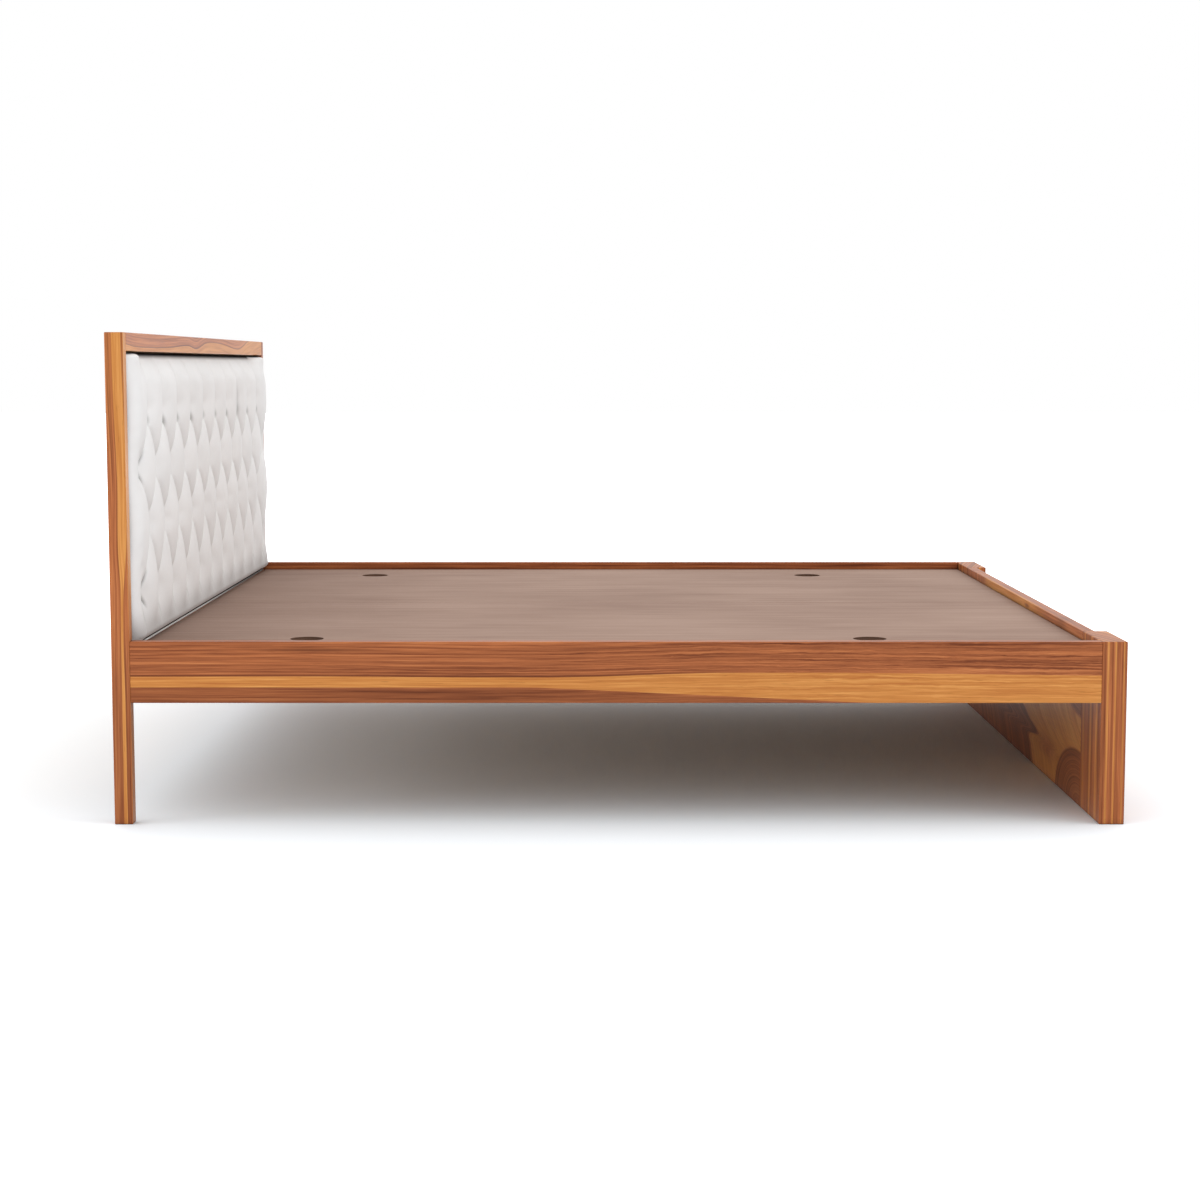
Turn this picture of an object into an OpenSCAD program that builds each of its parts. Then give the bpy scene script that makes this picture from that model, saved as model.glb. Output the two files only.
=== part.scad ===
// Upholstered king-size bed: hardwood frame, tufted headboard panel, plywood deck in two loose panels.
// X runs from the headboard to the foot, Y across the bed, Z up from the floor. Sizes in millimetres.

/* [Overall] */
// Outer length, from the back of the headboard to the foot face
bed_l = 2090; // [1900:5:2300]
// Outer width, over the side rails
bed_w = 1905; // [1500:5:2000]
// Height of the headboard posts
head_h = 1013; // [900:1:1200]
// Height of the side rails' top edge above the floor
rail_top = 381; // [340:1:450]

/* [Headboard frame] */
// Post size along the bed
post_x = 38; // [36:1:60]
// Post size across the bed
post_y = 30; // [28:1:45]
// Height of the top rail
top_rail_h = 38; // [34:1:60]
// Thickness of the back panel
back_t = 6; // [4:0.5:9]
// Depth of the groove that holds the back panel
groove_d = 8; // [5:0.5:9]
// How far the back panel lies in front of the frame's back
back_inset = 8; // [6:0.5:9]

/* [Upholstered panel] */
// Thickness of the plywood board under the foam
board_t = 9; // [8:0.5:12]
// Thickness of the foam pad
foam_t = 13.7; // [8:0.1:15]
// Height of the cover's crown in front of the board
crown = 36; // [30:1:45]
// Gap between the cover and the posts
side_gap = 12; // [8:1:20]
// Gap between the cover's corners and the top rail
top_gap = 3; // [2:0.5:8]
// Gap between the cover and the bottom rail
low_gap = 6.5; // [4:0.5:10]
// Thickness of the cover round the board's edge
cover_wall = 3; // [2:0.5:5]
// Inset of the foam pad from the cover's edge
foam_inset = 12; // [10:1:20]
// Radius of the cover's rounded sides
border_r = 40; // [30:1:50]
// Height over which the cover rolls back at its top
top_roll = 66; // [40:1:80]
// Radius of the cover's lower edge
low_r = 18; // [12:1:30]
// Width of the raised corners at the cover's top
ear_w = 150; // [100:5:200]
// Height over which a raised corner swells to the full crown
ear_h = 95; // [60:1:120]
// Radius along the top of a raised corner
ear_r = 9; // [6:0.5:15]
// Depth of the sewn creases between tufts
crease = 12; // [6:1:13]
// Depth of the dips in the side border, beside the outermost tufts
side_dip = 9; // [4:1:12]
// Width over which the side border changes to its own dips
side_fade = 35; // [25:1:50]
// Height over which the creases die out below the bottom row
low_fade = 70; // [50:1:100]
// Extra depth at each tuft
tuft_pull = 7; // [4:1:9]
// Radius of the dimple at each tuft
tuft_r = 22; // [15:1:30]
// Tufts in the longest rows
tuft_cols = 11; // [7:1:13]
// Rows of tufts, each set half a pitch aside from the last
tuft_rows = 4; // [3:1:5]
// Distance from the cover's side to the outermost tufts
tuft_side = 76.5; // [60:0.5:100]
// Distance from the cover's top to the top row
tuft_top = 127; // [100:1:150]
// Distance from the cover's bottom to the bottom row
tuft_low = 104; // [85:0.5:150]
// How much further the bottom row lies from the next one than the other rows do
low_row_drop = 25; // [0:1:40]
// Diameter of the tuft twine
twine_d = 3; // [2:0.5:4]
// Diameter of the washer that holds a twine
tie_washer_d = 12; // [10:1:16]
// Thickness of that washer
tie_washer_t = 2; // [1:0.5:3]
// Diameter of the welt along the cover's foot
welt_d = 4; // [3:0.5:6]
// From the cover's top and bottom edges to the screws that hold its board
board_screw_in = 60; // [40:1:90]

/* [Side rails] */
// Height of a side rail
rail_h = 127; // [115:1:160]
// Thickness of a side rail
rail_t = 30; // [28:1:36]

/* [Footboard] */
// Leg size along the bed
leg_x = 52; // [45:1:70]
// Leg size across the bed
leg_y = 193; // [120:1:260]
// Thickness of the panel between the legs
foot_panel_t = 26; // [22:1:32]

/* [Deck] */
// How far the deck lies below the rails' top edge
deck_drop = 19.5; // [12:0.5:28]
// Thickness of a deck panel
deck_t = 12; // [9:0.5:18]
// Gap round a deck panel
deck_gap = 2; // [1:0.5:4]
// Diameter of a finger hole
finger_d = 72; // [50:1:80]
// From the rails' head end to the first finger hole
finger_head = 337; // [280:1:400]
// From the rails' foot end to the second finger hole
finger_foot = 453; // [380:1:500]
// From a side rail's inner face to the finger holes
finger_side = 185.5; // [120:0.5:220]

/* [Supports] */
// Thickness of a batten
batten_t = 25; // [20:1:28]
// Width of a batten
batten_w = 70; // [60:1:80]
// Clear space between a finger hole and a batten
finger_room = 25; // [15:1:30]
// Height of a rail cleat
cleat_h = 30; // [25:1:34]
// Width of a rail cleat
cleat_w = 25; // [20:1:30]
// Width of the centre beam
beam_w = 45; // [40:1:60]
// Height of the centre beam
beam_h = 60; // [50:1:62]
// Sheet thickness of a beam hanger
hanger_t = 2.5; // [2:0.5:4]
// Length of a beam hanger's seat
hanger_l = 45; // [35:1:60]
// Width of a beam hanger's screw flange
flange_w = 22; // [18:1:30]

/* [Fasteners] */
// Shank diameter of a bed bolt
bolt_d = 8; // [6:0.5:8]
// Head diameter of a bed bolt
bolt_head_d = 14; // [13:0.5:15]
// Head height of a bed bolt
bolt_head_h = 5; // [4:0.5:6]
// Hexagon key size of a bed bolt
bolt_key = 5; // [4:0.5:6]
// Diameter of a bolt's washer
washer_d = 16; // [15:0.5:16.5]
// Thickness of a bolt's washer
washer_t = 1.6; // [1.2:0.1:2]
// Diameter of a bolt's recess, which its cover closes
recess_d = 18; // [17:0.5:19]
// Thickness of a bolt's cover
cap_t = 3; // [2:0.5:4]
// Diameter of a barrel nut
nut_d = 14; // [12:0.5:16]
// Length of a barrel nut
nut_l = 20; // [16:1:22]
// From a rail's end to its barrel nuts
nut_in = 45; // [35:1:60]
// From a rail's lower edge to the lower bolt
bolt_edge = 28; // [22:1:32]
// Diameter of a thick dowel
dowel_d = 10; // [8:0.5:12]
// Diameter of a thin dowel
thin_dowel_d = 8; // [6:0.5:8]
// Depth of a dowel in the piece that it enters from the side
dowel_in = 20; // [15:1:22]
// Depth of a dowel in the end of a piece
dowel_end = 30; // [20:1:40]
// Shank diameter of a wood screw
screw_d = 4.5; // [4:0.5:5]
// Length of a screw in the cleats
long_screw = 45; // [40:1:50]
// Length of a screw in the beam hangers
short_screw = 20; // [16:1:22]
// Shank diameter of a screw in the upholstered panel
small_screw_d = 3.5; // [3:0.5:4]

/* [Hidden] */
$fn = 48;

// Clearance of glued dowels and of screws in their holes, on the radius
fit_gap = 0.1;
// Clearance between pieces that lie against each other without a fit
rest_gap = 0.3;
// Eased edges of the hardwood and of the plain timber
hard_ease = 1.5;
plain_ease = 1;
// Through cuts run past a face by this much
past = 1;

// Planes along the bed
x_back = -bed_l / 2;
x_post = x_back + post_x;
x_foot = bed_l / 2;
x_leg = x_foot - leg_x;
x_panel = x_leg + foot_panel_t;
// Planes across the bed
y_out = bed_w / 2;
y_rail = y_out - rail_t;
y_post = y_out - post_y;
y_leg = y_out - leg_y;
// Levels
rail_low = rail_top - rail_h;
deck_top = rail_top - deck_drop;
deck_low = deck_top - deck_t;
batten_low = deck_low - batten_t;
cleat_low = batten_low - cleat_h;
beam_low = batten_low - beam_h;
top_rail_low = head_h - top_rail_h;

// Back panel, board and foam, from the back to the front
x_back_panel = x_back + back_inset;
x_board = x_back_panel + back_t;
x_foam = x_board + board_t;
x_foam_front = x_foam + min(foam_t, crown - crease - tuft_pull - cover_wall);
cover_half = y_post - side_gap;
cover_low = deck_top + low_gap;
cover_top = top_rail_low - top_gap;
// The foam ends where the rolled top leaves room for it
foam_top = cover_top - max(foam_inset, 0.6 * top_roll);

// Tufts: rows are counted from the bottom, and every second row is set half a pitch aside
tuft_pitch = 2 * (cover_half - tuft_side) / (tuft_cols - 1);
tuft_row = (cover_top - cover_low - tuft_top - tuft_low - low_row_drop) / (tuft_rows - 1);
tuft_z0 = cover_low + tuft_low;
// Height of a row, which may lie a share of the way between two
function row_z(k) = tuft_z0 + k * tuft_row + min(1, k) * low_row_drop;
// The row that a height lies on, between 0 and the top one
function row_at(z) =
  let (above = z - row_z(1))
  min(tuft_rows - 1, max(0, 1 + above / (above < 0 ? tuft_row + low_row_drop : tuft_row)));
tuft_reach = (tuft_cols - 1) / 2;
tufts = [for (j = [0 : tuft_rows - 1]) each
  [for (i = [0 : tuft_cols - 1 - j % 2])
    [(i - tuft_reach + (j % 2) / 2) * tuft_pitch, row_z(j)]]];

// Battens: one at each end, one on each side of a finger hole and the rest spread between them
finger_x = [x_post + finger_head, x_leg - finger_foot];
finger_y = y_rail - finger_side;
batten_off = finger_d / 2 + finger_room + batten_w / 2;
batten_first = x_post + deck_gap + batten_w / 2;
batten_last = x_leg - deck_gap - batten_w / 2;
mid_step = (finger_x[1] - finger_x[0] - 2 * batten_off) / 4;
batten_x = concat(
  [batten_first],
  [for (i = [0 : 4]) finger_x[0] + (i == 0 ? -batten_off : batten_off + (i - 1) * mid_step)],
  [for (s = [-1, 1]) finger_x[1] + s * batten_off],
  [(finger_x[1] + batten_off + batten_last) / 2, batten_last]
);
y_cleat_screw = y_rail - cleat_w / 2;
z_cleat_screw = (batten_low + cleat_low) / 2;

// Bed bolts and dowels at the four corners
bolt_z = [rail_low + bolt_edge, deck_top - groove_d - recess_d / 2 - 2.5];
dowel_z = (bolt_z[0] + bolt_z[1]) / 2;
frame_dowel_z = [for (k = [1, 3]) bolt_z[0] + k * (bolt_z[1] - bolt_z[0]) / 4];
y_bolt = y_out - min(rail_t, post_y) / 2;
recess_depth = cap_t + bolt_head_h + washer_t + 1.5;
nut_tail = 10;
// Dowels of the top rail and of the footboard panel
top_dowel_z = [for (s = [-1, 1]) head_h - top_rail_h / 2 + s * 8.5];
x_frame_dowel = x_post - 11;
panel_dowel_z = [for (k = [1, 3, 5]) k * rail_top / 6];
x_panel_dowel = (x_leg + x_panel) / 2;

// Hardwood, plain timber, boards, metal and soft parts
hardwood = [0.68, 0.40, 0.24];
gold_wood = [0.80, 0.53, 0.30];
plain_wood = [0.82, 0.69, 0.50];
ply = [0.78, 0.64, 0.46];
deck_brown = [0.62, 0.50, 0.44];
steel = [0.72, 0.72, 0.70];
dark_cap = [0.33, 0.18, 0.10];
cloth = [0.88, 0.87, 0.85];
foam_colour = [0.94, 0.90, 0.72];
twine_colour = [0.80, 0.76, 0.66];

// A rectangle with chamfered corners
module chamfered(w, h, e) {
  polygon([[e, 0], [w - e, 0], [w, e], [w, h - e], [w - e, h], [e, h], [0, h - e], [0, e]]);
}

// A board between two corners, with all twelve edges eased
module eased_board(lo, hi, ease) {
  size = hi - lo;
  translate(lo) intersection() {
    linear_extrude(size.z) chamfered(size.x, size.y, ease);
    translate([0, size.y, 0]) rotate([90, 0, 0]) linear_extrude(size.y) chamfered(size.x, size.z, ease);
    rotate([90, 0, 90]) linear_extrude(size.x) chamfered(size.y, size.z, ease);
  }
}

module block(lo, hi) {
  translate(lo) cube(hi - lo);
}

// Round bars along X and Y, starting at a point
module bar_x(at, d, l) {
  translate(at) rotate([0, 90, 0]) cylinder(d = d, h = l);
}

module bar_y(at, d, l) {
  translate(at) rotate([-90, 0, 0]) cylinder(d = d, h = l);
}

module bar_z(at, d, l) {
  translate(at) cylinder(d = d, h = l);
}

module far_side() {
  mirror([0, 1, 0]) children();
}

module both_sides() {
  children();
  far_side() children();
}

// Countersunk screw, its head's top at the origin and its shank along -Z
module screw(d, l) {
  rotate_extrude() polygon([[0, 0], [d, 0], [d / 2, -d / 2], [d / 2, -l + d], [0, -l]]);
}

// The hole for that screw
module screw_hole(d, l) {
  r = d / 2 + fit_gap;
  rotate_extrude() polygon([
    [0, past], [d + fit_gap, past], [d + fit_gap, -fit_gap], [r, -d / 2 - fit_gap],
    [r, -l + d], [0, -l - 2 * fit_gap]
  ]);
}

// Places of the near corners' bolts: the outer face that each enters, its direction and its level
module at_head_bolts() {
  for (z = bolt_z) translate([x_back, -y_bolt, z]) children();
}

module at_foot_bolts() {
  for (z = bolt_z) translate([x_foot, -y_bolt, z]) mirror([1, 0, 0]) children();
}

// Hole of a bed bolt that enters a piece of the given thickness, along +X
module bolt_hole(thick) {
  bar_x([-past, 0, 0], recess_d, recess_depth + past);
  bar_x([0, 0, 0], bolt_d + 4 * fit_gap, thick + nut_in + nut_tail + 1);
}

// A bed bolt, its head toward -X, through a piece of the given thickness
module bolt(thick) {
  head_x = cap_t + rest_gap;
  shank_end = thick + nut_in + nut_tail;
  difference() {
    union() {
      bar_x([head_x, 0, 0], bolt_head_d, bolt_head_h);
      bar_x([head_x + bolt_head_h, 0, 0], bolt_d, shank_end - head_x - bolt_head_h);
    }
    translate([head_x - past, 0, 0]) rotate([0, 90, 0])
      cylinder(d = bolt_key / cos(30), h = past + bolt_head_h / 2, $fn = 6);
  }
}

module washer() {
  x = cap_t + rest_gap + bolt_head_h + fit_gap;
  difference() {
    bar_x([x, 0, 0], washer_d, recess_depth - x);
    bar_x([x - past, 0, 0], bolt_d + 2 * fit_gap, recess_depth);
  }
}

// Cross hole of a barrel nut, open at the rail's inner face
module nut_hole() {
  depth = rail_t / 2 + nut_l / 2 + 1;
  translate([0, y_bolt - y_rail - depth + past, 0]) bar_y([0, 0, 0], nut_d + 4 * fit_gap, depth);
}

module barrel_nut() {
  difference() {
    bar_y([0, -nut_l / 2, 0], nut_d, nut_l);
    bar_x([-nut_d, 0, 0], bolt_d + 2 * fit_gap, 2 * nut_d);
  }
}

// Headboard frame

module post_shape() {
  difference() {
    eased_board([x_back, -y_out, 0], [x_post, -y_post, head_h], hard_ease);
    at_head_bolts() bolt_hole(post_x);
    bar_x([x_post - dowel_in - rest_gap, -y_bolt, dowel_z], dowel_d + 2 * fit_gap, dowel_in + past);
    // groove of the back panel
    block([x_back_panel - fit_gap, -y_post - groove_d, deck_top - groove_d],
          [x_board + fit_gap, -y_post + past, top_rail_low + groove_d]);
    for (z = concat(frame_dowel_z, top_dowel_z))
      bar_y([x_frame_dowel, -y_post - dowel_in - rest_gap, z], thin_dowel_d + 2 * fit_gap,
            dowel_in + past + rest_gap);
  }
}

module headboard_post_near() {
  color(gold_wood) post_shape();
}

module headboard_post_far() {
  color(gold_wood) far_side() post_shape();
}

// Dowel holes in both ends of a rail between the posts
module rail_end_holes(levels) {
  both_sides() for (z = levels)
    bar_y([x_frame_dowel, -y_post - past, z], thin_dowel_d + 2 * fit_gap, dowel_end + past + rest_gap);
}

module headboard_top_rail() {
  color(hardwood) difference() {
    eased_board([x_back, -y_post, top_rail_low], [x_post, y_post, head_h], hard_ease);
    block([x_back_panel - fit_gap, -y_post - past, top_rail_low - past],
          [x_board + fit_gap, y_post + past, top_rail_low + groove_d]);
    rail_end_holes(top_dowel_z);
  }
}

module headboard_bottom_rail() {
  color(hardwood) difference() {
    eased_board([x_back, -y_post, rail_low], [x_post, y_post, deck_top], hard_ease);
    block([x_back_panel - fit_gap, -y_post - past, deck_top - groove_d],
          [x_board + fit_gap, y_post + past, deck_top + past]);
    rail_end_holes(frame_dowel_z);
    hanger_screw_places(x_post, 1) screw_hole(screw_d, short_screw);
  }
}

module headboard_back_panel() {
  edge = groove_d - 0.5;
  color(ply) difference() {
    block([x_back_panel, -y_post - edge, deck_top - edge], [x_board, y_post + edge, top_rail_low + edge]);
    at_upholstery_screws() screw_hole(small_screw_d, upholstery_screw_l());
  }
}

module frame_dowels() {
  l = dowel_in + dowel_end;
  color(plain_wood) both_sides() for (z = concat(frame_dowel_z, top_dowel_z))
    bar_y([x_frame_dowel, -y_post - dowel_in, z], thin_dowel_d, l);
}

// Upholstered panel

// Rise of a quarter round at a distance from its edge, from 0 to 1
function quarter_round(d, r) = d >= r ? 1 : sqrt(1 - pow(1 - d / r, 2));

// Smooth step from 0 at low to 1 at high
function smooth_step(t, low, high) =
  let (k = min(1, max(0, (t - low) / (high - low)))) k * k * (3 - 2 * k);

// Share of the full height that the rolled edges leave. The top corners stand up as ears.
function border(y, z) =
  let (from_top = cover_top - z,
       roll = sin(90 * min(1, from_top / top_roll)),
       ear = quarter_round(from_top, ear_r) * (0.77 + 0.23 * smooth_step(from_top, 0.26 * ear_h, ear_h)),
       in_ear = smooth_step(abs(y), cover_half - ear_w, cover_half - 0.3 * ear_w))
  quarter_round(cover_half - abs(y), border_r) * quarter_round(z - cover_low, low_r)
  * (roll + (ear - roll) * in_ear);

// Distance to the nearest tuft of a row, across the panel
function row_offset(y, j) =
  let (half = (j % 2) / 2, reach = tuft_reach - half)
  y / tuft_pitch - min(reach, max(-reach, round(y / tuft_pitch - half) + half));

function tuft_distance(y, z) =
  min([for (j = [0 : tuft_rows - 1])
    norm([row_offset(y, j) * tuft_pitch, z - row_z(j)])]);

// Share of the way across the side border, from the outermost tufts
function past_tufts(y) = smooth_step(abs(y) - tuft_reach * tuft_pitch, 0, side_fade);

// Fullness between the creases that join the tufts: 0 on a crease, 1 in the middle of a diamond.
// Above the top row and below the bottom row the creases run straight to the edge, and the side
// border swells and sinks softly with the rows.
function fullness(y, z) =
  let (u = min(tuft_reach, max(-tuft_reach, y / tuft_pitch)),
       v = row_at(z) / 2,
       diamond = sqrt(abs(sin(180 * (u + v)) * sin(180 * (u - v)))),
       full = diamond + (pow(sin(180 * v), 2) - diamond) * past_tufts(y))
  full * (1 - 0.55 * smooth_step(tuft_z0 - z, 0, low_fade));

// Height of the cover in front of the board
function cover_height(y, z) =
  let (sink = crease + (side_dip - crease) * past_tufts(y),
       pull = tuft_pull * exp(-pow(tuft_distance(y, z) / tuft_r, 2)))
  border(y, z) * (crown - sink * (1 - fullness(y, z)) - pull);

// Grid lines: a quarter pitch apart between the tufts, closer at the rolled edges
side_steps = [0, 0.25, 1];
y_lines = concat(
  [for (k = side_steps) -cover_half + k * border_r],
  [for (k = [-4 * tuft_reach : 4 * tuft_reach]) k * tuft_pitch / 4],
  [for (k = [2 : -1 : 0]) cover_half - side_steps[k] * border_r]
);
z_lines = concat(
  [for (d = [0, low_r / 4, low_r, (low_r + tuft_low) / 2]) cover_low + d],
  [for (k = [0 : 4 * (tuft_rows - 1)]) row_z(k / 4)],
  [for (d = [(top_roll + tuft_top) / 2, top_roll, 0.4 * top_roll, ear_r, 0]) cover_top - d]
);

// The tufted body: a front grid, a ring behind its border and a flat back
module tufted_body() {
  ny = len(y_lines);
  nz = len(z_lines);
  front = [for (z = z_lines) each [for (y = y_lines) [x_foam + cover_height(y, z), y, z]]];
  // the border's points, once round, seen from the front
  border = concat(
    [for (i = [0 : ny - 2]) i],
    [for (k = [0 : nz - 2]) k * ny + ny - 1],
    [for (i = [ny - 1 : -1 : 1]) (nz - 1) * ny + i],
    [for (k = [nz - 1 : -1 : 1]) k * ny]
  );
  n = len(border);
  ring = [for (b = border) [x_board + rest_gap, front[b].y, front[b].z]];
  ring_at = ny * nz;
  centre_at = ring_at + n;
  front_faces = [for (k = [0 : nz - 2]) each [for (i = [0 : ny - 2]) each
    let (a = k * ny + i, b = a + 1, c = a + ny + 1, d = a + ny)
    // each square is split along the crease's own direction
    ((round(y_lines[i] * 4 / tuft_pitch) + k) % 2 == 0) ? [[a, c, b], [a, d, c]] : [[a, d, b], [b, d, c]]]];
  side_faces = [for (i = [0 : n - 1]) each
    let (j = (i + 1) % n)
    [[border[i], border[j], ring_at + j], [border[i], ring_at + j, ring_at + i]]];
  back_faces = [for (i = [0 : n - 1]) [ring_at + i, ring_at + (i + 1) % n, centre_at]];
  centre = [x_board + rest_gap, 0, (cover_low + cover_top) / 2];
  polyhedron(concat(front, ring, [centre]), concat(front_faces, side_faces, back_faces));
}

module tufted_cover() {
  in = foam_inset;
  wall = cover_wall;
  color(cloth) difference() {
    tufted_body();
    // room for the board
    block([x_board - past, -cover_half + wall, cover_low + wall],
          [x_foam + fit_gap, cover_half - wall, cover_top - wall]);
    // room for the foam
    block([x_board - past, -cover_half + in, cover_low + in],
          [x_foam_front + rest_gap, cover_half - in, foam_top]);
  }
}

// The welt closes the gap under the cover. It lies along the front edge of the bottom rail.
module cover_welt() {
  y = cover_half - cover_wall;
  x = x_post - welt_d / 2 - 2 * rest_gap;
  color(cloth) bar_y([x, -y, deck_top + welt_d / 2 + fit_gap], welt_d, 2 * y);
}

module upholstery_board() {
  e = cover_wall + rest_gap;
  color(ply) difference() {
    block([x_board, -cover_half + e, cover_low + e], [x_foam, cover_half - e, cover_top - e]);
    for (t = tufts) {
      bar_x([x_board - past, t.x, t.y], twine_d + 2 * fit_gap, board_t + 2 * past);
      bar_x([x_board - past, t.x, t.y], tie_washer_d + 2 * fit_gap, tie_washer_t + fit_gap + past);
    }
    at_upholstery_screws() screw_hole(small_screw_d, upholstery_screw_l());
  }
}

module foam_pad() {
  e = foam_inset + rest_gap;
  color(foam_colour) difference() {
    block([x_foam + fit_gap, -cover_half + e, cover_low + e],
          [x_foam_front, cover_half - e, foam_top - rest_gap]);
    for (t = tufts) bar_x([x_foam - past, t.x, t.y], twine_d + 2 * fit_gap, foam_t + 2 * past);
  }
}

// A twine through the foam and the board at each tuft, held by a washer let into the board's back
module tuft_ties() {
  color(twine_colour) for (t = tufts) {
    bar_x([x_board + fit_gap, t.x, t.y], tie_washer_d, tie_washer_t);
    bar_x([x_board + fit_gap, t.x, t.y], twine_d, board_t + foam_t);
  }
}

function upholstery_screw_l() = back_t + board_t - 2;

// Screws from behind, between the tuft columns
module at_upholstery_screws() {
  for (y = [-3.25, -1.25, 1.25, 3.25], z = [cover_low + board_screw_in, cover_top - board_screw_in])
    translate([x_back_panel, y * tuft_pitch, z]) rotate([0, -90, 0]) children();
}

module upholstery_screws() {
  color(steel) at_upholstery_screws() screw(small_screw_d, upholstery_screw_l());
}

// Side rails and what hangs on them

module side_rail_shape() {
  difference() {
    eased_board([x_post, -y_out, rail_low], [x_leg, -y_rail, rail_top], hard_ease);
    at_head_bolts() {
      bolt_hole(post_x);
      translate([post_x + nut_in, 0, 0]) nut_hole();
    }
    at_foot_bolts() {
      bolt_hole(leg_x);
      translate([leg_x + nut_in, 0, 0]) nut_hole();
    }
    for (x = [x_post - past, x_leg - dowel_end - rest_gap])
      bar_x([x, -y_bolt, dowel_z], dowel_d + 2 * fit_gap, dowel_end + past + rest_gap);
    at_cleat_screws() screw_hole(screw_d, long_screw);
  }
}

module side_rail_near() {
  color(hardwood) side_rail_shape();
}

module side_rail_far() {
  color(hardwood) far_side() side_rail_shape();
}

// Cleat screws lie midway between the battens, their heads on the cleat's inner face
module at_cleat_screws() {
  for (i = [0 : len(batten_x) - 2])
    translate([(batten_x[i] + batten_x[i + 1]) / 2, -y_rail + cleat_w, z_cleat_screw])
      rotate([-90, 0, 0]) children();
}

module cleat_shape() {
  difference() {
    eased_board([x_post + deck_gap, -y_rail, cleat_low], [x_leg - deck_gap, -y_rail + cleat_w, batten_low],
                plain_ease);
    at_cleat_screws() screw_hole(screw_d, long_screw);
    for (x = batten_x) batten_screw_place(x) screw_hole(screw_d, long_screw);
  }
}

module rail_cleat_near() {
  color(plain_wood) cleat_shape();
}

module rail_cleat_far() {
  color(plain_wood) far_side() cleat_shape();
}

module cleat_screws() {
  color(steel) both_sides() at_cleat_screws() screw(screw_d, long_screw);
}

module batten_screw_place(x) {
  translate([x, -y_cleat_screw, deck_low]) children();
}

module batten(i) {
  x = batten_x[i];
  y = y_rail - deck_gap;
  color(plain_wood) difference() {
    eased_board([x - batten_w / 2, -y, batten_low], [x + batten_w / 2, y, deck_low], plain_ease);
    both_sides() batten_screw_place(x) screw_hole(screw_d, long_screw);
  }
}

module batten_screws() {
  color(steel) both_sides() for (x = batten_x) batten_screw_place(x)
    screw(screw_d, long_screw);
}

// Centre beam, hung between the headboard's bottom rail and the footboard panel

module center_beam() {
  x0 = x_post + hanger_t + deck_gap;
  x1 = x_leg - hanger_t - deck_gap;
  color(plain_wood)
    eased_board([x0, -beam_w / 2, beam_low], [x1, beam_w / 2, batten_low], plain_ease);
}

// Screws of a hanger on the plane x, which they enter against the direction dir
module hanger_screw_places(x, dir) {
  y = beam_w / 2 + rest_gap + hanger_t + flange_w / 2;
  for (s = [-1, 1], k = [0.25, 0.75])
    translate([x + dir * hanger_t, s * y, beam_low + k * beam_h]) rotate([0, dir * 90, 0]) children();
}

// A U-shaped sheet-metal hanger on the plane x, opening toward dir
module hanger(x, dir) {
  inner = beam_w / 2 + rest_gap;
  low = beam_low - hanger_t;
  top = batten_low - 4;
  color(steel) difference() {
    translate([x, 0, 0]) mirror([dir < 0 ? 1 : 0, 0, 0]) {
      for (s = [0, 1]) mirror([0, s, 0]) {
        block([0, inner, low], [hanger_l, inner + hanger_t, top]);
        block([0, inner, low], [hanger_t, inner + hanger_t + flange_w, top]);
      }
      block([0, -inner - hanger_t, low], [hanger_l, inner + hanger_t, beam_low]);
    }
    hanger_screw_places(x, dir) screw_hole(screw_d, short_screw);
  }
}

module beam_hanger_head() {
  hanger(x_post, 1);
}

module beam_hanger_foot() {
  hanger(x_leg, -1);
}

module hanger_screws() {
  color(steel) {
    hanger_screw_places(x_post, 1) screw(screw_d, short_screw);
    hanger_screw_places(x_leg, -1) screw(screw_d, short_screw);
  }
}

// Loose deck panels, each with two finger holes

module deck_shape() {
  difference() {
    eased_board([x_post + deck_gap, -y_rail + deck_gap, deck_low],
                [x_leg - deck_gap, -deck_gap / 2, deck_top],
                plain_ease);
    for (x = finger_x) bar_z([x, -finger_y, deck_low - past], finger_d, deck_t + 2 * past);
  }
}

module deck_panel_near() {
  color(deck_brown) deck_shape();
}

module deck_panel_far() {
  color(deck_brown) far_side() deck_shape();
}

// Footboard

module leg_shape() {
  difference() {
    eased_board([x_leg, -y_out, 0], [x_foot, -y_leg, rail_top], hard_ease);
    at_foot_bolts() bolt_hole(leg_x);
    bar_x([x_leg - past, -y_bolt, dowel_z], dowel_d + 2 * fit_gap, dowel_in + past + rest_gap);
    for (z = panel_dowel_z)
      bar_y([x_panel_dowel, -y_leg - dowel_end - rest_gap, z], dowel_d + 2 * fit_gap,
            dowel_end + past + rest_gap);
  }
}

module footboard_leg_near() {
  color(gold_wood) leg_shape();
}

module footboard_leg_far() {
  color(gold_wood) far_side() leg_shape();
}

module footboard_panel() {
  color(hardwood) difference() {
    eased_board([x_leg, -y_leg, 0], [x_panel, y_leg, rail_top], hard_ease);
    both_sides() for (z = panel_dowel_z)
      bar_y([x_panel_dowel, -y_leg - past, z], dowel_d + 2 * fit_gap, dowel_end + past + rest_gap);
    hanger_screw_places(x_leg, -1) screw_hole(screw_d, short_screw);
  }
}

module panel_dowels() {
  color(plain_wood) both_sides() for (z = panel_dowel_z)
    bar_y([x_panel_dowel, -y_leg - dowel_end, z], dowel_d, 2 * dowel_end);
}

// Corner fasteners

module bed_bolts() {
  color(steel) both_sides() {
    at_head_bolts() bolt(post_x);
    at_foot_bolts() bolt(leg_x);
  }
}

module bolt_washers() {
  color(steel) both_sides() {
    at_head_bolts() washer();
    at_foot_bolts() washer();
  }
}

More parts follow.
